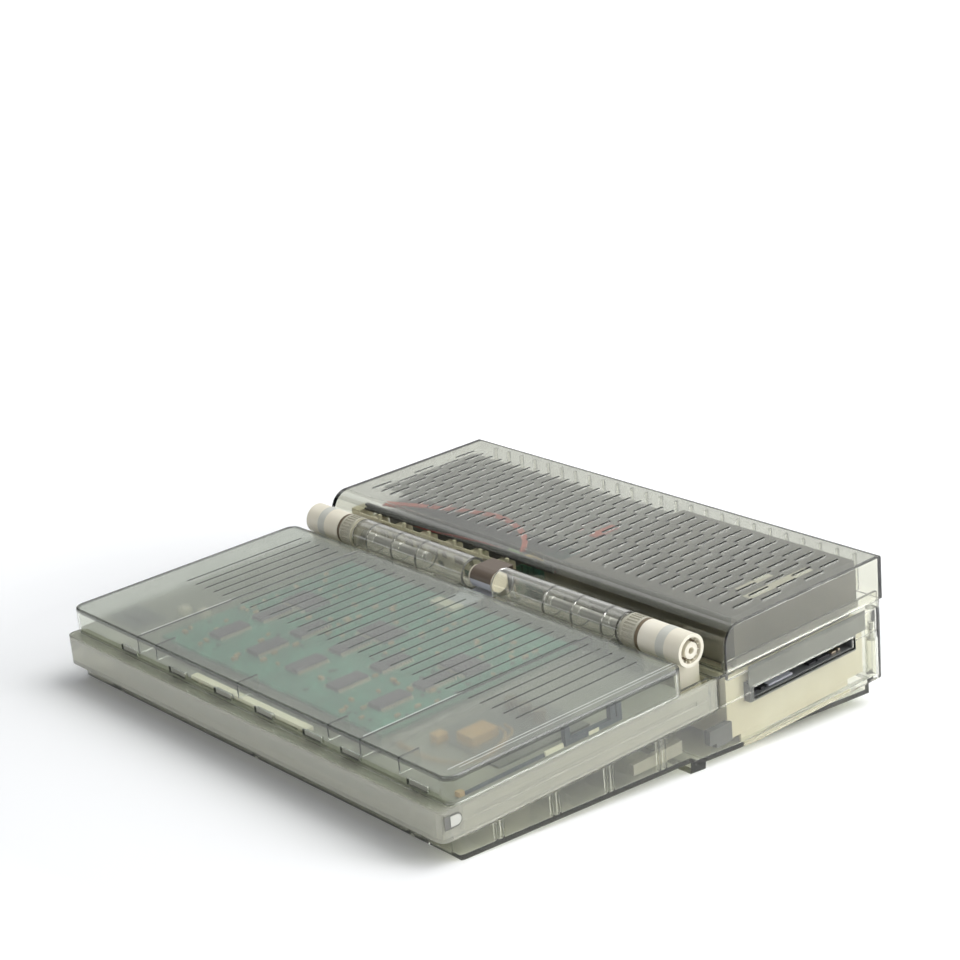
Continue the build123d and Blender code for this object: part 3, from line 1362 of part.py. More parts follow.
def drive_harness():
    """The bundle of wires that lies in the comb and ends at the hard disk."""
    path = FilletPolyline(*HARNESS, radius=9.0)
    start = Plane(origin=HARNESS[0], z_dir=(1, 0, 0))
    return sweep(start * Circle(HARNESS_R), path=path)


def port_board():
    """The board that carries the sockets at the back."""
    back = FRAME_BACK - 0.4
    return block(
        PORT_LEFT - 4, PORT_RIGHT + 4, back - BOARD_T, back, FRAME_FLOOR_TOP, PORT_HIGH + 4
    )


def port_sockets():
    """The row of sockets behind the window in the rear wall."""
    made = []
    x = PORT_LEFT + 3.0
    back = FRAME_BACK - 0.4
    middle = (PORT_LOW + PORT_HIGH) / 2
    for width in SOCKETS:
        shell = block(x, x + width, back, back + SOCKET_D, middle - 5.5, middle + 5.5)
        shell -= block(
            x + 1.5, x + width - 1.5, back + SOCKET_D - SOCKET_RECESS, back + SOCKET_D + 1,
            middle - 4, middle + 4,
        )
        made.append(shell)
        x += width + SOCKET_GAP
    return group(made)


# ---------------------------------------------------------------- assembly
def pieces():
    """Every node and its solids, square to the lid."""
    made = {
        "bottom_case": bottom_case(),
        "upper_case": upper_case(),
        "feet": feet(),
        "case_screws": case_screws(),
        "handle": handle(),
        "handle_guides": handle_guides(),
        "rear_cover": rear_cover(),
        "lid_shell": lid_shell(),
        "lid_bezel": lid_bezel(),
        "lid_bracket": lid_bracket(),
        "latch_bar": latch_bar(),
        "lcd_panel": lcd_panel(),
        "lcd_frame": lcd_frame(),
        "driver_board": driver_board(),
        "driver_chips": driver_chips(),
        "display_cable": display_cable(),
        "board_cable": board_cable(),
        "cable_drum": cable_drum(),
        "hinge_sleeves": hinge_sleeves(),
        "hinge_rings": hinge_rings(),
        "hinge_caps": hinge_caps(),
        "hinge_rods": hinge_rods(),
        "hinge_brackets": hinge_brackets(),
        "keyboard_frame": keyboard_frame(),
        "switch_plate": switch_plate(),
        "keyboard_board": keyboard_board(),
        "key_switches": key_switches(),
        "letter_keys": group(keycaps(named=False).values()),
        "trackball_housing": trackball_housing(),
        "trackball_ring": trackball_ring(),
        "trackball": trackball(),
        "encoder_roller_front": encoder_roller_front(),
        "encoder_roller_side": encoder_roller_side(),
        "trackball_button_front": trackball_button(BUTTON_Y[0]),
        "trackball_button_rear": trackball_button(BUTTON_Y[1]),
        "logic_board": logic_board(),
        "logic_chips": logic_chips(),
        "speaker": speaker(),
        "inner_frame": inner_frame(),
        "floppy_drive": floppy_drive(),
        "floppy_bezel": floppy_bezel(),
        "hard_disk": hard_disk(),
        "battery": battery(),
        "backup_battery": backup_battery(),
        "power_board": power_board(),
        "power_parts": power_parts(),
        "memory_card": card(MEMORY_X, 8),
        "modem_card": card(MODEM_X, 3),
        "drive_harness": drive_harness(),
        "port_board": port_board(),
        "port_sockets": port_sockets(),
    }
    made.update(keycaps(named=True))
    return made


def main():
    """Tip every piece onto its pads, centre it over its foot print and write it."""
    os.makedirs("parts", exist_ok=True)
    tipped = {name: Rot(STAND_TILT, 0, 0) * shape for name, shape in pieces().items()}
    boxes = [shape.bounding_box() for shape in tipped.values()]
    front = min(box.min.Y for box in boxes)
    back = max(box.max.Y for box in boxes)
    set_down = Pos(0, -(front + back) / 2, -TABLE)
    print("set down by", -(front + back) / 2, -TABLE)
    for name, shape in tipped.items():
        export_step(set_down * shape, f"parts/{name}.step")


main()
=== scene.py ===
# %% [markdown]
# # A luggable computer in a clear case
#
# The real machine is a laptop of the late 1980s whose outer case was moulded in clear plastic, so
# that the engineers could see its insides. It stands closed: a grooved lid with a fat barrel hinge
# behind it, a sliding handle round the front, and a slotted cover over the drives. The shapes come
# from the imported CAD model. This script gives them their finishes and adds the fine pieces that a
# CAD model leaves out: chip legs, small parts on the boards, wires, pins and screw recesses.

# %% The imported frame
import json
import math
import random

import bpy
from mathutils import Matrix, Vector


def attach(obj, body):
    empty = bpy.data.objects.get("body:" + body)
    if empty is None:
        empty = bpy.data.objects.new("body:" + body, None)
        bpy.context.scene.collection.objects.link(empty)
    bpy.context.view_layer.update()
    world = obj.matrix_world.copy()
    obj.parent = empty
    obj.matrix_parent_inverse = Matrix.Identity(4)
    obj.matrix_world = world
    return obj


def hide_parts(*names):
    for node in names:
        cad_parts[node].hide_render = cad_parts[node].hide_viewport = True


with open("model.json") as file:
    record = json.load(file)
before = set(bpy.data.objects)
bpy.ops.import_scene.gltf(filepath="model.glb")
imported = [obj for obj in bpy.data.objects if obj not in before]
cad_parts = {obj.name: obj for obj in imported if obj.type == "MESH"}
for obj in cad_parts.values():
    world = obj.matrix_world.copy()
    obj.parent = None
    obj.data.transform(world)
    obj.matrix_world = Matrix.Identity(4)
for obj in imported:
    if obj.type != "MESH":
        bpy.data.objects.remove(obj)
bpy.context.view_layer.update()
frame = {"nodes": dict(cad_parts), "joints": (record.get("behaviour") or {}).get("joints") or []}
nodes = frame["nodes"]

# %% [markdown]
# ## Directions of the lid
#
# The machine stands tipped by six degrees, so hardly anything in it is level. It is far easier to
# place a chip in the lid's own directions: X across, Y from the lid's front edge to the back, Z up
# from its top, all in millimetres. One matrix turns such a place into the frame's metres. Its
# origin comes from the hinge, whose place is known both ways.

# %% A matrix from the lid's directions to the frame
TILT = math.radians(6.0)
HINGE_MIDDLE = Vector((0.0, 201.0, 2.0))

lid_hinge = next(j for j in frame["joints"] if j["name"] == "lid_hinge")
lean = Matrix.Rotation(TILT, 4, "X")
lid_corner = Vector(lid_hinge["pos_m"]) - (lean @ HINGE_MIDDLE) / 1000.0
TO_FRAME = Matrix.Translation(lid_corner) @ lean @ Matrix.Scale(0.001, 4)
FROM_FRAME = TO_FRAME.inverted()
ACROSS = Vector((1.0, 0.0, 0.0))
BACK = lean @ Vector((0.0, 1.0, 0.0))
UP = lean @ Vector((0.0, 0.0, 1.0))
print("the lid's front edge is at", [round(v, 4) for v in lid_corner])

# %% [markdown]
# ## Finishes
#
# Every finish is one Principled shader with a little procedural texture. Colours that vary go
# through nodes on Object coordinates, and what is the same all over is set on the socket.

# %% Helpers for finishes
finishes = {}


def new_finish(name, colour, roughness, metallic=0.0):
    """Makes a material with one Principled shader, and gives its tree and shader."""
    material = bpy.data.materials.new(name)
    material.use_nodes = True
    tree = material.node_tree
    shader = tree.nodes["Principled BSDF"]
    shader.inputs["Base Color"].default_value = (*colour, 1.0)
    shader.inputs["Roughness"].default_value = roughness
    shader.inputs["Metallic"].default_value = metallic
    finishes[name] = material
    return tree, shader


def noise(tree, scale, detail=3.0, stretch=(1.0, 1.0, 1.0)):
    """Noise in the piece's own metres, stretched where a grain has a direction."""
    place = tree.nodes.new("ShaderNodeTexCoord")
    mapping = tree.nodes.new("ShaderNodeMapping")
    mapping.inputs["Scale"].default_value = stretch
    texture = tree.nodes.new("ShaderNodeTexNoise")
    texture.inputs["Scale"].default_value = scale
    texture.inputs["Detail"].default_value = detail
    tree.links.new(place.outputs["Object"], mapping.inputs["Vector"])
    tree.links.new(mapping.outputs["Vector"], texture.inputs["Vector"])
    return texture.outputs["Fac"]


def ramp(tree, factor, low, high, start=0.35, end=0.65):
    """A colour that runs from low to high as the factor rises."""
    node = tree.nodes.new("ShaderNodeValToRGB")
    node.color_ramp.elements[0].position = start
    node.color_ramp.elements[0].color = (*low, 1.0)
    node.color_ramp.elements[1].position = end
    node.color_ramp.elements[1].color = (*high, 1.0)
    tree.links.new(factor, node.inputs["Fac"])
    return node.outputs["Color"]


def between(tree, factor, low, high):
    """A number that runs from low to high as the factor goes from 0 to 1."""
    node = tree.nodes.new("ShaderNodeMapRange")
    node.inputs["To Min"].default_value = low
    node.inputs["To Max"].default_value = high
    tree.links.new(factor, node.inputs["Value"])
    return node.outputs["Result"]


def relief(tree, shader, height, distance, strength):
    """Small relief in the surface."""
    node = tree.nodes.new("ShaderNodeBump")
    node.inputs["Distance"].default_value = distance
    node.inputs["Strength"].default_value = strength
    tree.links.new(height, node.inputs["Height"])
    tree.links.new(node.outputs["Normal"], shader.inputs["Normal"])
    return node


def soft_edges(tree, node, radius, samples=4):
    """Rounds the shading over sharp corners, ahead of a shader or of its relief."""
    edge = tree.nodes.new("ShaderNodeBevel")
    edge.samples = samples
    edge.inputs["Radius"].default_value = radius
    tree.links.new(edge.outputs["Normal"], node.inputs["Normal"])


def maths(tree, operation, first, *others):
    """One step of arithmetic on a socket."""
    node = tree.nodes.new("ShaderNodeMath")
    node.operation = operation
    tree.links.new(first, node.inputs[0])
    for i, value in enumerate(others, start=1):
        if isinstance(value, (int, float)):
            node.inputs[i].default_value = value
        else:
            tree.links.new(value, node.inputs[i])
    return node.outputs["Value"]


def along(tree, vector, direction):
    """How far a vector reaches in a direction."""
    node = tree.nodes.new("ShaderNodeVectorMath")
    node.operation = "DOT_PRODUCT"
    node.inputs[1].default_value = direction
    tree.links.new(vector, node.inputs[0])
    return node.outputs["Value"]


def blend_colour(tree, mask, colour, other):
    """The first colour, and the other one where the mask is 1."""
    node = tree.nodes.new("ShaderNodeMix")
    node.data_type = "RGBA"
    sockets = [i for i in node.inputs if i.type == "RGBA"]
    tree.links.new(mask, node.inputs["Factor"])
    tree.links.new(colour, sockets[0])
    sockets[1].default_value = (*other, 1.0)
    return next(o for o in node.outputs if o.type == "RGBA")


def zone_mask(tree, place, zone):
    """1 inside a zone given in the lid's directions, 0 outside."""
    mask = None
    for direction, (low, high) in zip((ACROSS, BACK, UP), zone):
        middle = lid_corner.dot(direction) + (low + high) / 2000.0
        reach = along(tree, place.outputs["Object"], direction)
        inside = maths(tree, "COMPARE", reach, middle, (high - low) / 2000.0)
        mask = maths(tree, "MULTIPLY", mask, inside) if mask else inside
    return mask


print("masks take up as", [round(c, 3) for c in UP])

# %% [markdown]
# The clear plastic is thick, so it bends what is behind it and its edges go dark. Faces that lie
# level were left satin inside, which blurs what is deep and adds haze. Upright walls came out of
# the mould clear. A mask on the surface's own direction tells the two apart. Lamps would stop at
# refracting plastic, so a Mix Shader lets their rays through, dimmed, and the insides are lit.
#
# The walls of slots and grooves get a near-black colour, and so does the lid's rounded rim: painted
# shade for the dark lines that they show. The grooves' floors get a pale colour, and so do thin
# lines where ribs and walls meet the lid's top: painted highlights. More masks find these inside
# zones given in the lid's directions.

# %% Clear plastic
PLASTIC_IOR = 1.49
UPRIGHT_BELOW = 0.7
LEANING_BELOW = 0.96
# The cut and rim colours are painted shade, and the pale colour is a painted highlight.
CUT_PAINTED_SHADE = (0.03, 0.032, 0.03)
RIM_PAINTED_SHADE = (0.03, 0.035, 0.03)
PAINTED_HIGHLIGHT = (0.86, 0.89, 0.84)
RIM_SHADE_STRENGTH = 0.75
CUT_SHADE_MILK = 0.5
HIGHLIGHT_MILK = 0.6


def zone_share(tree, share, mask, milk):
    """The share of light let through, less milk of it inside the mask."""
    return maths(tree, "MULTIPLY", share, maths(tree, "MULTIPLY_ADD", mask, -milk, 1.0))


def clear_plastic(name, tint, haze, milk, roughness, wall_tint, lamp_tint, wall_milk=0.0,
                  wall_roughness=0.03, shaded_cuts=(), rim=None, pale=()):
    """Clear plastic: hazy where level, clear where upright. The cut and rim zones get painted
    shade, the pale zones a painted highlight.
    """
    tree, shader = new_finish(name, tint, roughness)
    shader.inputs["IOR"].default_value = PLASTIC_IOR
    shader.inputs["Coat Weight"].default_value = 0.35
    shader.inputs["Coat Roughness"].default_value = 0.03
    place = tree.nodes.new("ShaderNodeTexCoord")
    level = maths(tree, "ABSOLUTE", along(tree, place.outputs["Normal"], UP))
    upright = maths(tree, "LESS_THAN", level, UPRIGHT_BELOW)
    colour = ramp(tree, noise(tree, 9.0, 2.0), haze, tint)
    colour = blend_colour(tree, upright, colour, wall_tint)
    share = maths(tree, "MULTIPLY_ADD", upright, milk - wall_milk, 1.0 - milk)
    # Walls of slots and grooves: painted shade, a near-black colour with less light let through.
    for zone in shaded_cuts:
        cut_shade = maths(tree, "MULTIPLY", zone_mask(tree, place, zone), upright)
        colour = blend_colour(tree, cut_shade, colour, CUT_PAINTED_SHADE)
        share = zone_share(tree, share, cut_shade, CUT_SHADE_MILK)
    # The lid's rounded rim: painted shade, a dark line where its surface leans.
    if rim:
        leaning = maths(tree, "LESS_THAN", level, LEANING_BELOW)
        edge = maths(tree, "MULTIPLY", zone_mask(tree, place, rim), leaning)
        edge = maths(tree, "MULTIPLY", edge, RIM_SHADE_STRENGTH)
        colour = blend_colour(tree, edge, colour, RIM_PAINTED_SHADE)
    # Groove floors and lines under ribs and walls: painted highlights, a pale colour with less
    # light let through.
    for zone in pale:
        light = maths(tree, "SUBTRACT", zone_mask(tree, place, zone), upright)
        light = maths(tree, "MAXIMUM", light, 0.0)
        colour = blend_colour(tree, light, colour, PAINTED_HIGHLIGHT)
        share = zone_share(tree, share, light, HIGHLIGHT_MILK)
    rough = maths(tree, "MULTIPLY_ADD", upright, wall_roughness - roughness, roughness)
    tree.links.new(colour, shader.inputs["Base Color"])
    tree.links.new(share, shader.inputs["Transmission Weight"])
    tree.links.new(rough, shader.inputs["Roughness"])
    bump = relief(tree, shader, noise(tree, 45.0, 1.0), 0.0004, 0.1)
    soft_edges(tree, bump, 0.0005, samples=3)
    lamp_ray = tree.nodes.new("ShaderNodeLightPath")
    see_through = tree.nodes.new("ShaderNodeBsdfTransparent")
    see_through.inputs["Color"].default_value = (*lamp_tint, 1.0)
    mix = tree.nodes.new("ShaderNodeMixShader")
    tree.links.new(lamp_ray.outputs["Is Shadow Ray"], mix.inputs["Fac"])
    tree.links.new(shader.outputs["BSDF"], mix.inputs[1])
    tree.links.new(see_through.outputs["BSDF"], mix.inputs[2])
    tree.links.new(mix.outputs["Shader"], tree.nodes["Material Output"].inputs["Surface"])


# Zones as (left, right), (front, back) and (bottom, top) in the lid's millimetres.
# Painted shade on the groove walls, and a painted highlight on the groove floors.
GROOVE_WALL_SHADE = ((-178.0, 178.0), (74.0, 173.0), (-0.85, -0.02))
GROOVE_FLOOR_HIGHLIGHT = ((-178.0, 178.0), (74.0, 173.0), (-0.95, -0.7))
# Painted shade on the lid's rounded rim.
LID_RIM_SHADE = ((-194.0, 194.0), (-2.0, 190.0), (-3.0, 0.1))
# Painted shade on the walls of the cover's vents.
VENT_WALL_SHADE = ((-186.0, 186.0), (244.0, 346.0), (10.0, 12.6))
LID_TOP = (-0.3, 0.1)
# Painted highlights, pale lines where the lid's inner ribs and walls meet its top: x, width, front
# and back.
HIGHLIGHT_LINES = (
    (-115.0, 0.9, 4.0, 79.0), (115.0, 0.9, 4.0, 79.0), (-115.0, 0.4, 79.0, 188.0),
    (184.5, 0.7, 8.0, 188.0), (187.3, 0.5, 14.0, 188.0), (-187.3, 0.4, 14.0, 188.0),
)
highlight_line_zones = [((x - width / 2, x + width / 2), (front, back), LID_TOP)
              for x, width, front, back in HIGHLIGHT_LINES]

clear_plastic("clear_lid", tint=(0.74, 0.76, 0.71), haze=(0.68, 0.71, 0.66), milk=0.09,
              roughness=0.15, wall_tint=(0.84, 0.86, 0.80), lamp_tint=(0.66, 0.69, 0.64),
              shaded_cuts=[GROOVE_WALL_SHADE], rim=LID_RIM_SHADE, pale=[GROOVE_FLOOR_HIGHLIGHT] + highlight_line_zones)
clear_plastic("clear_case", tint=(0.80, 0.81, 0.74), haze=(0.76, 0.77, 0.70), milk=0.04,
              roughness=0.06, wall_tint=(0.90, 0.90, 0.83), lamp_tint=(0.80, 0.81, 0.75))
clear_plastic("clear_cover", tint=(0.70, 0.71, 0.66), haze=(0.65, 0.66, 0.61), milk=0.06,
              roughness=0.10, wall_tint=(0.86, 0.86, 0.79), lamp_tint=(0.64, 0.65, 0.60),
              shaded_cuts=[VENT_WALL_SHADE])
clear_plastic("clear_cream", tint=(0.74, 0.74, 0.65), haze=(0.66, 0.66, 0.58), milk=0.30,
              roughness=0.2, wall_tint=(0.74, 0.74, 0.65), lamp_tint=(0.62, 0.62, 0.54),
              wall_milk=0.27, wall_roughness=0.16)
clear_plastic("clear_tube", tint=(0.95, 0.95, 0.91), haze=(0.92, 0.92, 0.88), milk=0.04,
              roughness=0.02, wall_tint=(0.95, 0.95, 0.91), lamp_tint=(0.88, 0.88, 0.83),
              wall_milk=0.04)
print("clear finishes:", [n for n in finishes if n.startswith("clear")])

# %% [markdown]
# The mouldings inside are matt ivory plastic, a little uneven in colour. Their corners are slightly
# rounded on the real ones. A Bevel node rounds the shading there, which costs no triangles.

# %% Opaque plastics, metals and boards
PATCH_SCALE = 22.0
GRAIN_SCALE = 2600.0
CORNER_RADIUS = 0.0004


def moulded(name, dark, pale, roughness, depth=0.0001):
    """A matt moulding: uneven colour, fine grain."""
    tree, shader = new_finish(name, pale, roughness)
    patches = ramp(tree, noise(tree, PATCH_SCALE), dark, pale)
    tree.links.new(patches, shader.inputs["Base Color"])
    bump = relief(tree, shader, noise(tree, GRAIN_SCALE, 2.0), depth, 0.35)
    soft_edges(tree, bump, CORNER_RADIUS)


def metal(name, colour, roughness, stretch):
    """Metal with a fine directional grain in its roughness."""
    tree, shader = new_finish(name, colour, roughness, 1.0)
    grain = noise(tree, 700.0, 2.0, stretch)
    tree.links.new(between(tree, grain, roughness - 0.08, roughness + 0.12),
                   shader.inputs["Roughness"])
    soft_edges(tree, shader, CORNER_RADIUS)


def circuit_board(name, laminate, copper):
    """Coated board: straight runs of copper, and lighter areas, that show through the coating."""
    tree, shader = new_finish(name, laminate, 0.42)
    place = tree.nodes.new("ShaderNodeTexCoord")
    runs = tree.nodes.new("ShaderNodeTexBrick")
    runs.inputs["Scale"].default_value = 95.0
    runs.inputs["Mortar Size"].default_value = 0.07
    runs.inputs["Color2"].default_value = (*[c * 1.25 for c in laminate], 1.0)
    runs.inputs["Mortar"].default_value = (*copper, 1.0)
    areas = ramp(tree, noise(tree, 55.0, 1.0), [c * 0.55 for c in laminate],
                 [c * 2.2 for c in copper], 0.42, 0.62)
    tree.links.new(areas, runs.inputs["Color1"])
    tree.links.new(place.outputs["Object"], runs.inputs["Vector"])
    tree.links.new(runs.outputs["Color"], shader.inputs["Base Color"])
    soft_edges(tree, shader, 0.0003)


# Moulded finishes: darker and paler patches, and roughness.
MOULDED = {
    "ivory": ((0.73, 0.68, 0.54), (0.80, 0.76, 0.63), 0.45),
    # The darker ivory is painted shade: the same ivory as it looks in shade.
    "ivory_shade": ((0.34, 0.33, 0.28), (0.41, 0.40, 0.34), 0.5),
    "ivory_cap": ((0.79, 0.74, 0.60), (0.84, 0.80, 0.68), 0.35),
    "key_grey": ((0.66, 0.64, 0.56), (0.72, 0.70, 0.62), 0.5),
    "dark_plastic": ((0.035, 0.035, 0.04), (0.05, 0.05, 0.055), 0.45),
    "clip_grey": ((0.055, 0.065, 0.085), (0.07, 0.08, 0.10), 0.4),
    "chip_body": ((0.06, 0.045, 0.075), (0.09, 0.07, 0.10), 0.5),
    "bezel_grey": ((0.23, 0.23, 0.195), (0.31, 0.31, 0.265), 0.5),
    "bracket_olive": ((0.095, 0.089, 0.068), (0.14, 0.131, 0.102), 0.38),
    "shield_grey": ((0.17, 0.17, 0.155), (0.23, 0.23, 0.21), 0.42),
    "slate": ((0.09, 0.095, 0.10), (0.13, 0.135, 0.14), 0.4),
    "label_lilac": ((0.52, 0.53, 0.60), (0.60, 0.61, 0.67), 0.5),
    "band_grey": ((0.58, 0.58, 0.52), (0.64, 0.64, 0.58), 0.4),
    # This grey is painted shade, for the plate above the disk slot.
    "hood_grey": ((0.16, 0.165, 0.155), (0.21, 0.215, 0.20), 0.4),
    "ring_grey": ((0.44, 0.42, 0.33), (0.52, 0.50, 0.41), 0.3),
    # This brown colours the capacitors and the seals, and is also painted shade in the caps'
    # recesses and the comb.
    "recess_brown": ((0.12, 0.09, 0.055), (0.18, 0.14, 0.09), 0.6),
    "battery_shell": ((0.14, 0.14, 0.13), (0.20, 0.20, 0.185), 0.5),
    "pad_rubber": ((0.02, 0.02, 0.02), (0.035, 0.035, 0.035), 0.85),
    "pale_film": ((0.50, 0.51, 0.56), (0.60, 0.61, 0.66), 0.35),
    "wire_black": ((0.015, 0.015, 0.017), (0.03, 0.03, 0.032), 0.4),
    "wire_red": ((0.28, 0.03, 0.03), (0.36, 0.05, 0.05), 0.4),
    "wire_yellow": ((0.55, 0.38, 0.06), (0.62, 0.44, 0.09), 0.4),
    "wire_green": ((0.10, 0.24, 0.03), (0.16, 0.32, 0.05), 0.4),
    "flag_red": ((0.62, 0.08, 0.03), (0.72, 0.13, 0.06), 0.45),
    "amber_tape": ((0.55, 0.33, 0.12), (0.64, 0.40, 0.16), 0.4),
    "tan_ceramic": ((0.42, 0.28, 0.14), (0.50, 0.35, 0.19), 0.5),
}
for name, (dark, pale, roughness) in MOULDED.items():
    moulded(name, dark, pale, roughness)
moulded("ball_black", (0.02, 0.02, 0.025), (0.035, 0.035, 0.04), 0.12, depth=0.00002)
metal("plated_steel", (0.56, 0.56, 0.55), 0.34, (1.0, 12.0, 12.0))
metal("cast_aluminium", (0.62, 0.63, 0.64), 0.42, (1.0, 1.0, 1.0))
metal("tinned", (0.72, 0.63, 0.48), 0.34, (1.0, 6.0, 6.0))
circuit_board("board_green", (0.02, 0.135, 0.095), (0.05, 0.22, 0.15))
circuit_board("board_dark", (0.02, 0.085, 0.06), (0.05, 0.15, 0.10))


def display_glass():
    """The switched-off display: dark glass over a faintly uneven polariser."""
    tree, shader = new_finish("display_glass", (0.10, 0.11, 0.105), 0.08)
    glass = ramp(tree, noise(tree, 14.0), (0.088, 0.098, 0.093), (0.108, 0.118, 0.113))
    tree.links.new(glass, shader.inputs["Base Color"])
    tree.links.new(between(tree, noise(tree, 30.0), 0.05, 0.12), shader.inputs["Roughness"])


GLUED_ZONE = ((-20.0, 20.0), (180.0, 240.0), (2.5, 20.0))
GLUE_BROWN = (0.14, 0.11, 0.085)


def cable_film():
    """The cable's film: lilac where it comes off the drum, brown where it's glued on top."""
    tree, shader = new_finish("cable_film", (0.55, 0.56, 0.61), 0.35)
    place = tree.nodes.new("ShaderNodeTexCoord")
    glued = zone_mask(tree, place, GLUED_ZONE)
    film = ramp(tree, noise(tree, PATCH_SCALE), (0.50, 0.51, 0.56), (0.60, 0.61, 0.66))
    colour = blend_colour(tree, glued, film, GLUE_BROWN)
    tree.links.new(colour, shader.inputs["Base Color"])


display_glass()
cable_film()
print("finishes:", len(finishes))

# %% [markdown]
# ## Dressing the CAD nodes
#
# A CAD node whose shape is right keeps it and only gets a finish. The table below says which finish
# each node wears.

# %% Finishes of the CAD nodes
WEARS = {
    "clear_lid": ["lid_shell"],
    "clear_case": ["bottom_case", "upper_case"],
    "clear_cover": ["rear_cover"],
    "clear_cream": ["handle"],
    "clear_tube": ["hinge_sleeves"],
    "bezel_grey": ["lid_bezel"],
    "ring_grey": ["hinge_rings"],
    # Painted shade: the guides wear the darker ivory.
    "ivory_shade": ["handle_guides"],
    "ivory": ["latch_bar", "cable_drum", "hinge_brackets", "keyboard_frame",
              "trackball_housing", "trackball_ring", "inner_frame"],
    "ivory_cap": ["hinge_caps"],
    "key_grey": ["letter_keys", "option_key", "command_key", "space_bar", "shift_key_left",
                 "shift_key_right", "caps_lock_key", "return_key", "tab_key", "delete_key",
                 "trackball_button_front", "trackball_button_rear"],
    "dark_plastic": ["key_switches", "speaker"],
    "slate": ["floppy_bezel"],
    "bracket_olive": ["hard_disk"],
    "clip_grey": ["lid_bracket"],
    "chip_body": ["driver_chips", "logic_chips", "power_parts"],
    "battery_shell": ["battery", "backup_battery"],
    "pad_rubber": ["feet"],
    "pale_film": ["display_cable"],
    "cable_film": ["board_cable"],
    "wire_black": ["drive_harness"],
    "ball_black": ["trackball"],
    "plated_steel": ["case_screws", "lcd_frame", "hinge_rods", "switch_plate",
                     "encoder_roller_front", "encoder_roller_side", "port_sockets"],
    "cast_aluminium": ["floppy_drive"],
    "board_green": ["driver_board", "memory_card", "modem_card"],
    "board_dark": ["keyboard_board", "logic_board", "power_board", "port_board"],
    "display_glass": ["lcd_panel"],
}
for finish, names in WEARS.items():
    for name in names:
        mesh = nodes[name].data
        mesh.materials.clear()
        mesh.materials.append(finishes[finish])
print("dressed nodes:", sum(map(len, WEARS.values())), "of", len(nodes))

# %% [markdown]
# ## Fine pieces
#
# What follows is too fine for the CAD model, but shows through the clear case. Shapes are plain
# corners and faces in the lid's millimetres. One function joins them into a mesh, turns it into the
# frame, gives it a finish and lets it ride on its body.

# %% Shapes for the fine pieces
def slab(x0, x1, y0, y1, z0, z1):
    """A box between two corners."""
    corners = [(x, y, z) for x in (x0, x1) for y in (y0, y1) for z in (z0, z1)]
    faces = [(0, 1, 3, 2), (4, 6, 7, 5), (0, 4, 5, 1), (2, 3, 7, 6), (0, 2, 6, 4), (1, 5, 7, 3)]
    return corners, faces


def smooth(points, steps=5):
    """A curve that runs softly through the points."""
    knots = [Vector(p) for p in points]
    knots = [2 * knots[0] - knots[1]] + knots + [2 * knots[-1] - knots[-2]]
    curve = []
    for before, start, end, after in zip(knots, knots[1:], knots[2:], knots[3:]):
        for i in range(steps):
            t = i / steps
            curve.append(
                0.5 * (2 * start + (end - before) * t
                       + (2 * before - 5 * start + 4 * end - after) * t * t
                       + (3 * start - before - 3 * end + after) * t * t * t)
            )
    return curve + [knots[-2]]


WIRE_SIDE = Vector((0.13, 0.21, 0.97))


def beside(points, i, turn, radius):
    """A place off a path's point, at a turn round the path."""
    ahead = (points[min(i + 1, len(points) - 1)] - points[max(i - 1, 0)]).normalized()
    side = ahead.cross(WIRE_SIDE).normalized()
    other = side.cross(ahead)
    return points[i] + radius * (math.cos(turn) * side + math.sin(turn) * other)


def tube(path, radius, sides=8):
    """A round wire along a path."""
    points = [Vector(p) for p in path]
    corners = [beside(points, i, 2 * math.pi * k / sides, radius)
               for i in range(len(points)) for k in range(sides)]
    faces = [tuple(range(sides)), tuple(reversed(range(len(corners) - sides, len(corners))))]
    for start in range(0, len(corners) - sides, sides):
        for k in range(sides):
            here, after = start + k, start + (k + 1) % sides
            faces.append((here, here + sides, after + sides, after))
    return corners, faces


HOOP_SIDES = 48


def hoop(x0, x1, y, z, inner, outer):
    """A short pipe round an axis along X."""
    corners = []
    for k in range(HOOP_SIDES):
        turn = 2 * math.pi * k / HOOP_SIDES
        for x, r in ((x0, inner), (x0, outer), (x1, outer), (x1, inner)):
            corners.append((x, y + r * math.cos(turn), z + r * math.sin(turn)))
    faces = []
    for k in range(HOOP_SIDES):
        here, after = 4 * k, 4 * ((k + 1) % HOOP_SIDES)
        for j in range(4):
            onward = (j + 1) % 4
            faces.append((here + j, after + j, after + onward, here + onward))
    return corners, faces


def show(name, mesh, finish, body):
    """Puts a finished mesh in the scene: its finish and its body."""
    mesh.materials.clear()
    mesh.materials.append(finishes[finish])
    piece = bpy.data.objects.new(name, mesh)
    bpy.context.collection.objects.link(piece)
    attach(piece, body)
    return piece


def joined(name, shapes):
    """One mesh from several shapes."""
    corners, faces = [], []
    for shape_corners, shape_faces in shapes:
        start = len(corners)
        corners += shape_corners
        faces += [[start + i for i in face] for face in shape_faces]
    mesh = bpy.data.meshes.new(name)
    mesh.from_pydata(corners, [], faces)
    return mesh


def add(name, shapes, finish, body):
    """A fine piece made of shapes in the lid's directions."""
    mesh = joined(name, shapes)
    mesh.transform(TO_FRAME)
    return show(name, mesh, finish, body)


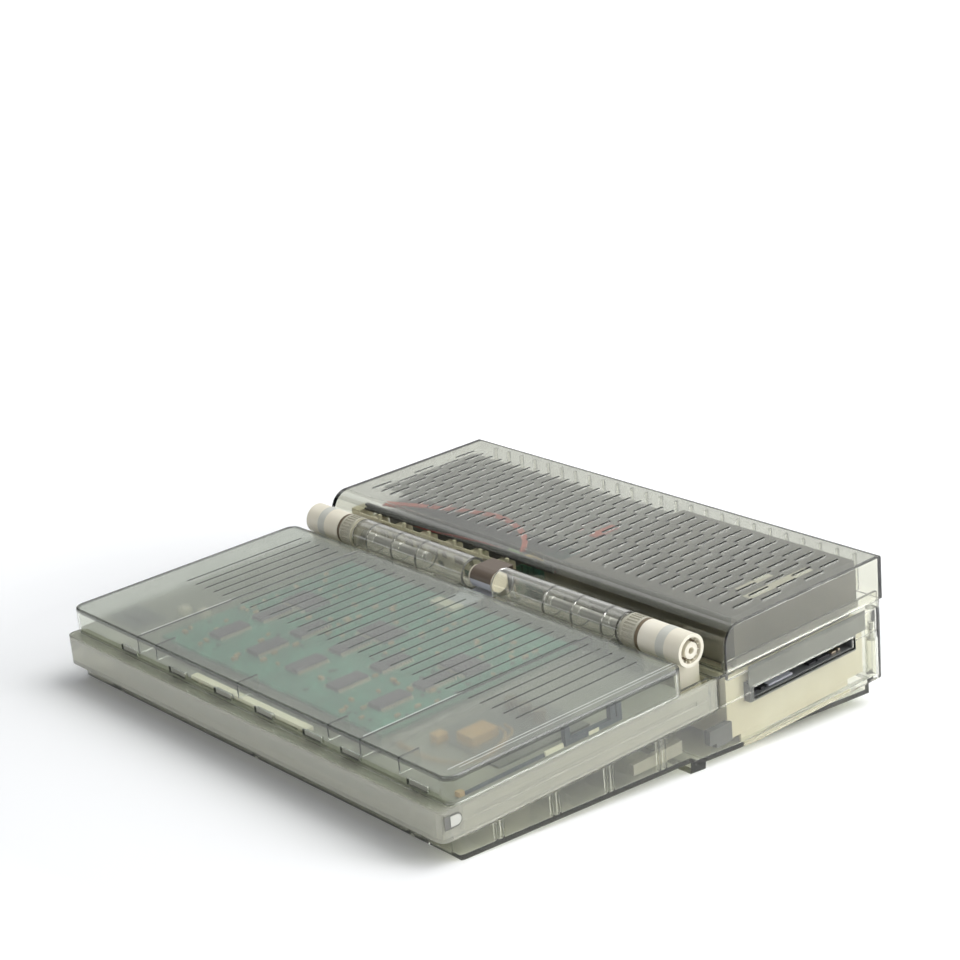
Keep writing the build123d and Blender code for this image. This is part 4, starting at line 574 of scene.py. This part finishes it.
def solids_of(name):
    """Boxes, in the lid's directions, round the separate solids of one CAD node."""
    piece = nodes[name]
    places = [FROM_FRAME @ (piece.matrix_world @ v.co) for v in piece.data.vertices]
    keys = [tuple(round(c, 2) for c in place) for place in places]
    leader = {key: key for key in keys}

    def first_of(key):
        while leader[key] != key:
            leader[key] = leader[leader[key]]
            key = leader[key]
        return key

    for face in piece.data.polygons:
        for i in face.vertices[1:]:
            leader[first_of(keys[i])] = first_of(keys[face.vertices[0]])
    boxes = {}
    for key, place in zip(keys, places):
        low, high = boxes.setdefault(first_of(key), (place.copy(), place.copy()))
        for i in range(3):
            low[i] = min(low[i], place[i])
            high[i] = max(high[i], place[i])
    return sorted(boxes.values(), key=lambda box: tuple(box[0]))


print("chips behind the display:", len(solids_of("driver_chips")))

# %% [markdown]
# Chip legs, capacitors and pins come by the hundred. One Geometry Nodes tree sets a copy of a small
# piece on every point it is given, turned by the point's own angle and a little larger or smaller.
# The result is kept as one plain mesh.

# %% A Geometry Nodes tree that repeats a small piece
def live(sockets, name):
    """The socket of that name that is in use."""
    return next(s for s in sockets if s.name == name and s.enabled)


def small_pieces_tree():
    """Points in, one copy of the piece on each out, as real faces."""
    tree = bpy.data.node_groups.new("small_pieces", "GeometryNodeTree")
    for name, kind in (("Geometry", "Geometry"), ("Piece", "Object"), ("Finish", "Material"),
                       ("Smallest", "Float"), ("Largest", "Float"), ("Seed", "Int")):
        tree.interface.new_socket(name, in_out="INPUT", socket_type="NodeSocket" + kind)
    tree.interface.new_socket("Geometry", in_out="OUTPUT", socket_type="NodeSocketGeometry")
    given = tree.nodes.new("NodeGroupInput")
    result = tree.nodes.new("NodeGroupOutput")
    source = tree.nodes.new("GeometryNodeObjectInfo")
    turn = tree.nodes.new("GeometryNodeInputNamedAttribute")
    turn.data_type = "FLOAT_VECTOR"
    turn.inputs["Name"].default_value = "turn"
    size = tree.nodes.new("FunctionNodeRandomValue")
    size.data_type = "FLOAT"
    copies = tree.nodes.new("GeometryNodeInstanceOnPoints")
    real = tree.nodes.new("GeometryNodeRealizeInstances")
    paint = tree.nodes.new("GeometryNodeSetMaterial")
    link = tree.links.new
    link(given.outputs["Piece"], source.inputs["Object"])
    link(given.outputs["Smallest"], live(size.inputs, "Min"))
    link(given.outputs["Largest"], live(size.inputs, "Max"))
    link(given.outputs["Seed"], live(size.inputs, "Seed"))
    link(given.outputs["Geometry"], copies.inputs["Points"])
    link(source.outputs["Geometry"], copies.inputs["Instance"])
    link(live(turn.outputs, "Attribute"), copies.inputs["Rotation"])
    link(live(size.outputs, "Value"), copies.inputs["Scale"])
    link(copies.outputs["Instances"], real.inputs["Geometry"])
    link(real.outputs["Geometry"], paint.inputs["Geometry"])
    link(given.outputs["Finish"], paint.inputs["Material"])
    link(paint.outputs["Geometry"], result.inputs["Geometry"])
    return tree


SMALL_PIECES = small_pieces_tree()


def repeat(name, shapes, places, finish, body, spread=0.0, seed=1):
    """Copies of one small piece at places of (x, y, z) and a turn about each axis in degrees."""
    source = bpy.data.objects.new(name + "_one", joined(name + "_one", shapes))
    points = bpy.data.meshes.new(name + "_points")
    points.from_pydata([place for place, _ in places], [], [])
    turns = points.attributes.new("turn", "FLOAT_VECTOR", "POINT")
    turns.data.foreach_set("vector", [math.radians(a) for _, turn in places for a in turn])
    holder = bpy.data.objects.new(name + "_points", points)
    for piece in (source, holder):
        bpy.context.collection.objects.link(piece)
    values = {"Piece": source, "Finish": finishes[finish], "Smallest": 1.0 - spread,
              "Largest": 1.0 + spread, "Seed": seed}
    modifier = holder.modifiers.new("small_pieces", "NODES")
    modifier.node_group = SMALL_PIECES
    for item in SMALL_PIECES.interface.items_tree:
        if item.in_out == "INPUT" and item.name in values:
            modifier[item.identifier] = values[item.name]
    ready = holder.evaluated_get(bpy.context.evaluated_depsgraph_get())
    mesh = bpy.data.meshes.new_from_object(ready)
    for piece in (holder, source):
        bpy.data.objects.remove(piece)
    mesh.transform(TO_FRAME)
    show(name, mesh, finish, body)


print("tree:", SMALL_PIECES.name, "with", len(SMALL_PIECES.nodes), "nodes")

# %% [markdown]
# ### Legs of the chips
#
# The chips are flat packs with bent legs down both long sides. Behind the hazy lid the legs show
# first: a tan line beside each purple-grey body. The display has two rows of five driver chips and
# three larger ones behind them. The CAD node has more and smaller ones, so the bodies made here
# stand in for it, and keep the places of its three large ones.

# %% Chips and their legs
LEG_PITCH = 1.9
LEG_WIDTH = 0.95
CHIP_DRAFT = 0.5
LEG_PROFILE = ((0.0, 1.5), (0.8, 1.5), (1.1, 0.25), (2.4, 0.25), (2.4, 0.0), (0.9, 0.0),
               (0.6, 1.25), (0.0, 1.25))


def leg():
    """One bent leg, pointing along X."""
    count = len(LEG_PROFILE)
    corners = [(x, side * LEG_WIDTH / 2, z) for side in (-1, 1) for x, z in LEG_PROFILE]
    faces = [tuple(reversed(range(count))), tuple(range(count, 2 * count))]
    for i in range(count):
        onward = (i + 1) % count
        faces.append((i, onward, onward + count, i + count))
    return corners, [tuple(reversed(face)) for face in faces]


def leg_places(chips):
    """A place for every leg of every chip."""
    places = []
    for low, high in chips:
        size = high - low
        along_back = size.y >= size.x
        length = size.y if along_back else size.x
        count = int((length - 2.0) / LEG_PITCH)
        for i in range(count + 1):
            step = (length - LEG_PITCH * count) / 2 + LEG_PITCH * i
            if along_back:
                places.append(((high.x, low.y + step, low.z), (0, 0, 0)))
                places.append(((low.x, low.y + step, low.z), (0, 0, 180)))
            else:
                places.append(((low.x + step, high.y, low.z), (0, 0, 90)))
                places.append(((low.x + step, low.y, low.z), (0, 0, -90)))
    return places


def flat_pack(low, high):
    """A chip's body: its sides lean in a little, so that it leaves its mould."""
    corners, faces = slab(low.x, high.x, low.y, high.y, low.z, high.z)
    middle = (low + high) / 2
    leant = []
    for x, y, z in corners:
        draft = CHIP_DRAFT if z > middle.z else 0.0
        leant.append((x + math.copysign(draft, middle.x - x),
                      y + math.copysign(draft, middle.y - y), z))
    return leant, faces


DRIVER_HALF = Vector((6.0, 12.5, 0.0))
DRIVER_HEIGHT = 2.6
DRIVER_X = (-82.0, -41.0, 0.0, 41.0, 82.0)
DRIVER_Y = (50.0, 84.0)
LARGE_CHIP = 24.0
LID_BOARD_TOP = -7.0
large_chips = [box for box in solids_of("driver_chips") if (box[1] - box[0]).x > LARGE_CHIP]
driver_chips = large_chips + [
    (Vector((x, y, LID_BOARD_TOP)) - DRIVER_HALF,
     Vector((x, y, LID_BOARD_TOP + DRIVER_HEIGHT)) + DRIVER_HALF)
    for x in DRIVER_X for y in DRIVER_Y
]
bodies = add("driver_chip_bodies", [flat_pack(*box) for box in driver_chips], "chip_body", "lid")
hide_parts("driver_chips")
chips_on = {"lid": driver_chips, "base": solids_of("logic_chips")}
for body, chips in chips_on.items():
    places = leg_places(chips)
    repeat(body + "_chip_legs", [leg()], places, "tinned", body)
    print("legs in the", body + ":", len(places))

# %% [markdown]
# ### Small parts on the boards
#
# Between the chips the boards are strewn with capacitors and resistors. They stand square to the
# board in no clear order, so their places are drawn with a fixed seed, clear of the chips.

# %% Capacitors and resistors
CHIP_MARGIN = 3.5
MAIN_BOARD_TOP = -48.0
# Left, right, front and back of the area that is strewn, and the board's top.
BOARDS = {
    "lid": (-109.0, 109.0, 22.0, 156.0, LID_BOARD_TOP),
    "base": (-176.0, 92.0, 22.0, 194.0, MAIN_BOARD_TOP),
}


def free_places(body, count, seed):
    """Random places on a body's board, clear of the chips, turned square."""
    luck = random.Random(seed)
    left, right, front, back, top = BOARDS[body]
    places = []
    while len(places) < count:
        x, y = luck.uniform(left, right), luck.uniform(front, back)
        free = all(
            x < low.x - CHIP_MARGIN or x > high.x + CHIP_MARGIN
            or y < low.y - CHIP_MARGIN or y > high.y + CHIP_MARGIN
            for low, high in chips_on[body]
        )
        if free:
            places.append(((x, y, top), (0, 0, luck.choice((0, 90)))))
    return places


capacitor = [slab(-1.7, 1.7, -0.9, 0.9, 0.0, 1.5)]
resistor = [slab(-1.3, 1.3, -0.7, 0.7, 0.0, 0.7)]
drop = [tube([(0, 0, 0), (0, 0, 2.6)], 1.7, 10)]
# Name, shape, finish, body, how many, spread of their size, and seed.
STREWN = (
    ("lid_capacitors", capacitor, "tan_ceramic", "lid", 80, 0.25, 3),
    ("lid_resistors", resistor, "dark_plastic", "lid", 70, 0.2, 5),
    ("main_capacitors", drop, "tan_ceramic", "base", 60, 0.3, 7),
    ("main_resistors", resistor, "dark_plastic", "base", 90, 0.2, 9),
)
for name, shape, finish, body, count, spread, seed in STREWN:
    places = free_places(body, count, seed)
    repeat(name, shape, places, finish, body, spread, seed)
    print(name + ":", count)

# %% [markdown]
# ### Beside the display
#
# Right of the board sits the small supply for the display's lamp: a board with a tan transformer
# and three brown capacitors, seen as a warm blur. The flat cable plugs into an ivory connector. The
# catch's spring lies left of the board. On the right wall the dark clip has an ivory tab. A dark
# strip with a tan end runs forward from it.

# %% Pieces in the lid
BEZEL_BACK = -15.4
SUPPLY_TOP = -14.0
add("lamp_supply_board", [slab(122, 182, 46, 116, BEZEL_BACK, SUPPLY_TOP)], "battery_shell", "lid")
add("lamp_transformer", [slab(142, 156, 50, 70, SUPPLY_TOP, -8.0),
                         slab(130, 137, 40, 48, SUPPLY_TOP, -9.0)], "amber_tape", "lid")
add("lamp_capacitors", [tube([(x, 98, SUPPLY_TOP), (x, 98, -6.5)], 4.2, 16)
                        for x in (136, 148, 160)], "recess_brown", "lid")
add("lamp_wires", [
    tube(smooth([(157, 70 + 4 * i, -8), (166, 66 + 5 * i, -10), (172, 40, -13),
                 (150, 26 + i, -14.2), (116.8, 25 + 2 * i, -14.2)]), 0.8) for i in range(2)
], "tan_ceramic", "lid")
add("cable_connector", [slab(-12, 12, 160, 168.6, LID_BOARD_TOP, -4.2)], "ivory", "lid")
add("catch_spring", [slab(-186, -150, 22, 46, BEZEL_BACK, -14.6),
                     slab(-180, -156, 30, 38, -14.6, -13.2)], "slate", "lid")
add("bezel_stops", [slab(-152, -144, 56, 62, BEZEL_BACK, -11),
                    slab(-138, -130, 62, 68, BEZEL_BACK, -11),
                    slab(190.75, 191.15, 107, 115, -15.3, -13.0),
                    slab(189.9, 191.1, 73, 87, -15.3, -12.4)], "ivory", "lid")
add("wall_strip", [slab(189.9, 191.1, 13, 72, -15.3, -13.2)], "clip_grey", "lid")
add("strip_end", [slab(187.5, 191.0, 9, 12.5, -15.3, -12.2)], "tan_ceramic", "lid")
print("lamp supply, connector, spring, stops and strip are in the lid")

# %% [markdown]
# ### The barrel's ends
#
# Each ivory cap ends in a ring-shaped recess with small ribs round a hollow boss, and wears a plain
# grey band. A dark seal parts it from the knurled ring, and a dark brown disc on the recess's
# bottom is painted shadow.

# %% Ribs and bands of the caps
CAP_END = 184.0
RECESS_DEPTH = 5.0
RECESS_FLOOR = CAP_END - RECESS_DEPTH
BAND_WIDTH = 7.0
BAND_X = 164.0
SEAL_WIDTH = 2.6
SEAL_X = 146.2
SHADOW_DISC_DEPTH = 0.2
RIB_COUNT = 14
RIB_LENGTH = 3.6
hinge_y, hinge_z = HINGE_MIDDLE.y, HINGE_MIDDLE.z
rib_places = [
    ((x, hinge_y, hinge_z), (360.0 * i / RIB_COUNT, 0, 0))
    for x in (RECESS_FLOOR, -RECESS_FLOOR - RIB_LENGTH) for i in range(RIB_COUNT)
]


def hoops(x, width, inner, outer):
    """A hoop in the right cap, and its twin in the left one."""
    return [hoop(start, start + width, hinge_y, hinge_z, inner, outer)
            for start in (x, -x - width)]


repeat("cap_ribs", [slab(0.0, RIB_LENGTH, -0.4, 0.4, 7.0, 8.5)], rib_places, "ivory_cap", "base")
add("cap_bosses", hoops(RECESS_FLOOR, RECESS_DEPTH, 4.3, 5.3), "ivory_cap", "base")
# Painted shadow: a dark brown disc on the bottom of each cap's recess.
add("cap_glue", hoops(RECESS_FLOOR, SHADOW_DISC_DEPTH, 4.45, 8.35), "recess_brown", "base")
add("cap_bands", hoops(BAND_X, BAND_WIDTH, 10.6, 10.92), "band_grey", "base")
add("cap_seals", hoops(SEAL_X, SEAL_WIDTH, 8.0, 10.7), "recess_brown", "base")
print("ribs in the caps:", len(rib_places))

# %% [markdown]
# ### The wiring
#
# The CAD model has one thick bar where the machine has a bundle of wires. Here it is made of
# strands that twist round each other inside that bar, one of them red. Loose wires run beside it:
# three red ones over the battery, and green and yellow ones down to the cards.

# %% Strands and loose wires
BUNDLE = ((-165.5, 232.1, 5.0), (15.0, 232.1, 5.0), (22.0, 233.6, 4.6), (24.0, 240.0, 1.2),
          (24.0, 254.0, -6.0), (25.6, 260.2, -9.3), (33.0, 262.0, -10.0), (46.0, 262.0, -10.0))
STRANDS = 9
RED_STRAND = 4
STRAND_RADIUS = 0.78
STRAND_OUT = 2.05
TWIST_LENGTH = 26.0


def strand(i):
    """One wire that winds round the middle of the bundle."""
    middle = smooth(BUNDLE, 8)
    path = []
    walked = 0.0
    for j, point in enumerate(middle):
        if j:
            walked += (point - middle[j - 1]).length
        turn = 2 * math.pi * i / STRANDS + walked / TWIST_LENGTH
        path.append(beside(middle, j, turn, 0.0 if i == 0 else STRAND_OUT))
    return tube(path, STRAND_RADIUS, 7)


strands = add("bundle_strands", [strand(i) for i in range(STRANDS) if i != RED_STRAND],
              "wire_black", "base")
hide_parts("drive_harness")
add("bundle_red_strand", [strand(RED_STRAND)], "wire_red", "base")
RED_ROUTE = ((-152, 236, 7.6), (-130, 244, 8.4), (-108, 256, 7.0), (-88, 263, 7.0),
             (-66, 268, 7.0), (-40, 262, 7.0), (-22, 252, 6.4), (-12, 242, 5.0))
add("red_wires", [tube(smooth([(x, y + aside, z) for x, y, z in RED_ROUTE]), 0.8)
                  for aside in (0.0, 1.7, 3.4)], "flag_red", "base")
add("green_wires", [
    tube(smooth([(-12 - 2.4 * i, 236, 2.5), (-14 - 2.4 * i, 243, 3.5), (-17 - 2.6 * i, 250, -4),
                 (-20 - 1.6 * i, 256, -12), (-24 - i, 262 + 2 * i, -13.4)]), 0.75) for i in range(5)
], "wire_green", "base")
add("yellow_wires", [
    tube(smooth([(-5 - 2.0 * i, 236, 2.0), (-2 - 2.0 * i, 246, 2.5), (2.0 - i, 256, -6),
                 (7.0 - i, 262 + 3 * i, -13.4)]), 0.75) for i in range(3)
], "wire_yellow", "base")
add("red_flag", [slab(9.0, 16.0, 284.0, 306.0, 6.0, 7.2)], "flag_red", "base")
print("strands in the bundle:", STRANDS)

# %% [markdown]
# ### The comb, the drives and the slot
#
# The ivory comb's blocks have a sunk window each, and a front plate with openings between them; the
# windows and the openings are dark brown plates of painted shade. The hard disk hangs in an olive
# sheet-metal bracket, whose front, right side and top show through the cover as a brown-grey plane,
# with two ivory bars on top. Left of it a grey shield lies over the battery and the cards. In the
# mouth of the disk slot dark, brass and lilac bits catch the light, and a grey plate above the slot
# is painted shade.

# %% Comb windows, bracket and slot
COMB_FRONT = 225.0
COMB_PITCH = 27.0
comb_x = [-150.0 + COMB_PITCH * i for i in range(6)]
window_x = comb_x + [-170.0]
# Painted shade: dark brown plates in the comb's sunk windows.
add("comb_windows", [slab(x - 3.0, x + 1.6, COMB_FRONT - 0.15, COMB_FRONT + 0.2, -7.0, 0.2)
                     for x in window_x], "recess_brown", "base")
add("comb_posts", [slab(x + 5.5, x + 7.7, COMB_FRONT + 0.05, COMB_FRONT + 2.0, -10.0, 5.6)
                   for x in comb_x], "ivory_cap", "base")
add("comb_front", [slab(-165.0, -9.0, COMB_FRONT + 0.2, COMB_FRONT + 1.0, -12.0, 2.4)], "ivory",
    "base")
# Painted shade: dark brown plates in the openings of the comb's front plate.
add("comb_gaps", [slab(x + 9.5, x + 19.0, COMB_FRONT, COMB_FRONT + 0.2, -9.0, 0.6)
                  for x in comb_x], "recess_brown", "base")
add("shield_sheet", [slab(-184.0, 33.0, 262.0, 349.0, 5.0, 5.8)], "shield_grey", "base")
BRACKET_RIGHT = 184.4
BRACKET_TOP = 10.0
add("disk_bracket", [
    slab(16, BRACKET_RIGHT, 236.6, 237.6, -20, 9.2),
    slab(183.3, BRACKET_RIGHT, 237.6, 350, -20, 9.2),
    slab(34, BRACKET_RIGHT, 236.6, 350, 9.2, BRACKET_TOP),
], "bracket_olive", "base")
add("bracket_bars", [slab(168, 175, 264, 322, BRACKET_TOP, BRACKET_TOP + 0.32),
                     slab(156, 161, 270, 300, BRACKET_TOP, BRACKET_TOP + 0.32)],
    "ivory", "base")
add("frame_corner", [slab(183.6, 186, 227.1, 236, -64, -24)], "ivory", "base")
add("frame_skirt", [slab(184.2, 186.0, 236.5, 337.0, -73.6, -66.05)], "ivory", "base")
# Painted shade: a grey plate above the disk slot.
add("slot_hood", [slab(190.2, 190.9, 241, 350, -34.5, -20.8)], "hood_grey", "base")
SLOT_FLOOR = -42.7
SLOT_ROOF = -35.9


def slot_bits(left, right, on_floor, under_roof):
    """Bits in the slot's mouth: (front, back, top) on its floor, (front, back, bottom) above."""
    return ([slab(left, right, y0, y1, SLOT_FLOOR, z) for y0, y1, z in on_floor]
            + [slab(left, right, y0, y1, z, SLOT_ROOF) for y0, y1, z in under_roof])


add("slot_dark_bits", slot_bits(
    184.0, 188.5,
    ((246, 252, -41.6), (255, 258, -41.3), (260, 267, -41.7), (300, 306, -41.5), (308, 319, -41.2)),
    ((312, 322, -37.0),),
), "dark_plastic", "base")
add("slot_brass_bits", slot_bits(
    184.5, 188.0,
    ((322, 326, -41.6), (328, 330, -41.2)),
    ((332, 336, -37.1), (252.5, 254.5, -37.0)),
), "tinned", "base")
add("slot_label", [slab(184.2, 188.6, 262, 284, SLOT_FLOOR, -41.6)], "label_lilac", "base")
add("disk_connector", [slab(41.5, 46, 248, 300, -22, -13)], "dark_plastic", "base")
print("windows in the comb:", len(window_x))

# %% [markdown]
# ### The marks at the handle's front corners
#
# At each front corner the handle's side shows a D-shaped hollow, pale at its round end. A grey
# plate inside the wall paints the hollow's shade.

# %% Corner marks
HANDLE_SIDE = 193.5
MARK_Y = 4.4
MARK_Z = -26.1
MARK_STEPS = 12


def corner_marks(depth, thick, front, radius):
    """D-shaped plates inside both side walls of the handle, round at the back."""
    rim = [(front, MARK_Z - radius)]
    for step in range(MARK_STEPS + 1):
        turn = math.pi * (step / MARK_STEPS - 0.5)
        rim.append((MARK_Y + radius * math.cos(turn), MARK_Z + radius * math.sin(turn)))
    rim.append((front, MARK_Z + radius))
    count = len(rim)
    faces = [tuple(range(count)), tuple(reversed(range(count, 2 * count)))]
    faces += [(i, i + count, (i + 1) % count + count, (i + 1) % count) for i in range(count)]
    outer = HANDLE_SIDE - depth
    right = [(x, y, z) for x in (outer, outer - thick) for y, z in rim]
    left = [(-x, y, z) for x, y, z in right]
    return [(left, [tuple(reversed(face)) for face in faces]), (right, faces)]


# Painted shade: grey plates where the hollows are.
add("corner_hollows", corner_marks(0.45, 0.3, -4.3, 4.1), "shield_grey", "handle")
add("corner_ends", corner_marks(0.1, 0.25, -0.2, 3.2), "band_grey", "handle")
print("corner marks at", MARK_Y, MARK_Z)

# %% [markdown]
# ### Low in the case, underneath and behind
#
# Beside the ridge an ivory rail and a dark block show through the lower case; the rail wears a
# darker ivory, painted shade. The screws that hold the two halves have cross recesses, drawn as
# dark crosses of painted shade, and the sockets at the back have gilt pins.

# %% Rail, block, screw recesses and pins
# Painted shade: the rail wears the darker ivory.
rail_corners, rail_faces = slab(184.2, 187.6, 143, 184, -57.0, -50.0)
RAIL_BACK = {-57.0: -58.0, -50.0: -49.6}
rail_corners = [(x, y, RAIL_BACK[z] if y == 184 else z) for x, y, z in rail_corners]
add("floor_rail", [(rail_corners, rail_faces)], "ivory_shade", "base")
add("shield_block", [slab(184.0, 188.4, 207.0, 212.5, -62.4, -53.0),
                     slab(184.0, 188.4, 212.5, 226.6, -65.8, -53.0)], "slate", "base")
CROSS_TURN = 30
heads = [((low.x + high.x) / 2, (low.y + high.y) / 2, low.z)
         for low, high in solids_of("case_screws")]
# Painted shade: dark crosses on the screw heads where their recesses are.
repeat("screw_recesses", [slab(-1.7, 1.7, -0.35, 0.35, -0.04, 0.3),
                          slab(-0.35, 0.35, -1.7, 1.7, -0.04, 0.3)],
       [(head, (0, 0, CROSS_TURN)) for head in heads], "dark_plastic", "base")
PIN_PITCH = 2.5
PIN_INSET = 2.5
PIN_LIFT = 1.6
pins = []
for low, high in solids_of("port_sockets"):
    middle = (low.z + high.z) / 2
    row = high.x - low.x - 2 * PIN_INSET
    gaps = max(2, int(row / PIN_PITCH))
    for i in range(gaps + 1):
        x = low.x + PIN_INSET + row * i / gaps
        pins += [((x, high.y - 3.0, middle + lift), (0, 0, 0)) for lift in (-PIN_LIFT, PIN_LIFT)]
repeat("socket_pins", [slab(-0.35, 0.35, 0.0, 2.4, -0.35, 0.35)], pins, "tinned", "base")
print("screws:", len(heads), "pins:", len(pins))

# %% [markdown]
# ## The studio
#
# The photograph was taken on a white sweep under large soft lamps. Clear plastic shows the room
# round it, so the room is drawn by the world's light: pale behind and to the right, dark in front,
# which gives the clear edges their dark lines. Reflections also see a small bright strip light.

# %% Floor, room and lamps
FLOOR_REACH = 9.0
GLOW_FROM = 0.35
GLOW_TO = 1.3


def studio_floor():
    """A large white sweep: it catches the shadow near the machine and glows far from it."""
    tree, shader = new_finish("floor_white", (0.93, 0.93, 0.93), 0.9)
    shader.inputs["Specular IOR Level"].default_value = 0.0
    place = tree.nodes.new("ShaderNodeTexCoord")
    length = tree.nodes.new("ShaderNodeVectorMath")
    length.operation = "LENGTH"
    glow = tree.nodes.new("ShaderNodeMapRange")
    glow.inputs["From Min"].default_value = GLOW_FROM
    glow.inputs["From Max"].default_value = GLOW_TO
    tree.links.new(place.outputs["Object"], length.inputs[0])
    tree.links.new(length.outputs["Value"], glow.inputs["Value"])
    shader.inputs["Emission Color"].default_value = (1.0, 1.0, 1.0, 1.0)
    tree.links.new(glow.outputs["Result"], shader.inputs["Emission Strength"])
    mesh = bpy.data.meshes.new("floor")
    corners = [(FLOOR_REACH * x, FLOOR_REACH * y, 0) for x in (-1, 1) for y in (-x, x)]
    mesh.from_pydata(corners, [], [(0, 1, 2, 3)])
    mesh.materials.append(finishes["floor_white"])
    floor = bpy.data.objects.new("floor", mesh)
    bpy.context.collection.objects.link(floor)


LIGHT_SIDE = Vector((0.62, 0.70, 0.35)).normalized()
STRIP_LIGHT = Vector((-0.72, 0.05, 0.62)).normalized()
STRIP_EDGE = 0.982
STRIP_STRENGTH = 2.5


def room():
    """White for the camera. The light side is behind and to the right, the dark side in front."""
    world = bpy.data.worlds.new("room")
    bpy.context.scene.world = world
    world.use_nodes = True
    tree = world.node_tree
    place = tree.nodes.new("ShaderNodeTexCoord")
    side = along(tree, place.outputs["Generated"], LIGHT_SIDE)
    side = maths(tree, "MULTIPLY_ADD", side, 0.5, 0.5)
    light = tree.nodes["Background"]
    light.inputs["Strength"].default_value = 1.0
    lit = ramp(tree, side, (0.10, 0.10, 0.11), (0.58, 0.60, 0.62), 0.20, 0.80)
    tree.links.new(lit, light.inputs["Color"])
    seen = tree.nodes.new("ShaderNodeBackground")
    reflected = ramp(tree, side, (0.06, 0.06, 0.06), (0.9, 0.9, 0.9), 0.25, 0.75)
    tree.links.new(reflected, seen.inputs["Color"])
    strip = along(tree, place.outputs["Generated"], STRIP_LIGHT)
    strip = maths(tree, "GREATER_THAN", strip, STRIP_EDGE)
    strip = maths(tree, "MULTIPLY_ADD", strip, STRIP_STRENGTH, 1.0)
    tree.links.new(strip, seen.inputs["Strength"])
    white = tree.nodes.new("ShaderNodeBackground")
    white.inputs["Color"].default_value = (1.0, 1.0, 1.0, 1.0)
    ray = tree.nodes.new("ShaderNodeLightPath")
    shiny = maths(tree, "MAXIMUM", ray.outputs["Is Glossy Ray"], ray.outputs["Is Transmission Ray"])
    mirrored = tree.nodes.new("ShaderNodeMixShader")
    tree.links.new(shiny, mirrored.inputs["Fac"])
    tree.links.new(light.outputs["Background"], mirrored.inputs[1])
    tree.links.new(seen.outputs["Background"], mirrored.inputs[2])
    mix = tree.nodes.new("ShaderNodeMixShader")
    tree.links.new(ray.outputs["Is Camera Ray"], mix.inputs["Fac"])
    tree.links.new(mirrored.outputs["Shader"], mix.inputs[1])
    tree.links.new(white.outputs["Background"], mix.inputs[2])
    tree.links.new(mix.outputs["Shader"], tree.nodes["World Output"].inputs["Surface"])


LAMP_AIM = Vector((0.0, 0.0, 0.05))
# Name, place and size in metres, and power in watts.
LAMPS = (
    ("lamp_above", (0.5, 0.7, 1.8), 1.4, 27),
    ("lamp_right", (1.5, 1.1, 1.0), 0.9, 13),
    ("lamp_front", (0.3, -1.9, 0.8), 0.9, 8),
)


def soft_lamp(name, place, size, watts):
    """A square softbox that looks at the machine."""
    data = bpy.data.lights.new(name, "AREA")
    data.shape = "SQUARE"
    data.size = size
    data.energy = watts
    lamp = bpy.data.objects.new(name, data)
    lamp.location = place
    lamp.rotation_euler = (LAMP_AIM - Vector(place)).to_track_quat("-Z", "Y").to_euler()
    bpy.context.collection.objects.link(lamp)


studio_floor()
room()
for lamp in LAMPS:
    soft_lamp(*lamp)
print("lamps:", len(LAMPS))

# %% [markdown]
# ## The camera
#
# The place comes from matching the corners of lid, handle and covers in the photograph with the
# corners of the model. A long lens far away keeps the perspective as flat as in the picture.

# %% Camera
CAMERA_PLACE = (1.0818, -0.9296, 0.5526)
CAMERA_UP_FROM_DOWN = math.radians(74.056)
CAMERA_TURN = math.radians(49.044)
CAMERA_ROLL = math.radians(-0.298)
LENS = 86.45


def photo_camera():
    """The photograph's camera."""
    data = bpy.data.cameras.new("camera")
    data.sensor_width = 36.0
    data.lens = LENS
    data.clip_start = 0.05
    camera = bpy.data.objects.new("camera", data)
    turned = Matrix.Rotation(CAMERA_TURN, 4, "Z") @ Matrix.Rotation(CAMERA_UP_FROM_DOWN, 4, "X")
    camera.matrix_world = Matrix.Translation(CAMERA_PLACE) @ turned @ Matrix.Rotation(
        CAMERA_ROLL, 4, "Z")
    bpy.context.collection.objects.link(camera)
    bpy.context.scene.camera = camera


photo_camera()
bpy.context.scene.view_settings.view_transform = "Standard"
print("lens:", LENS, "mm")
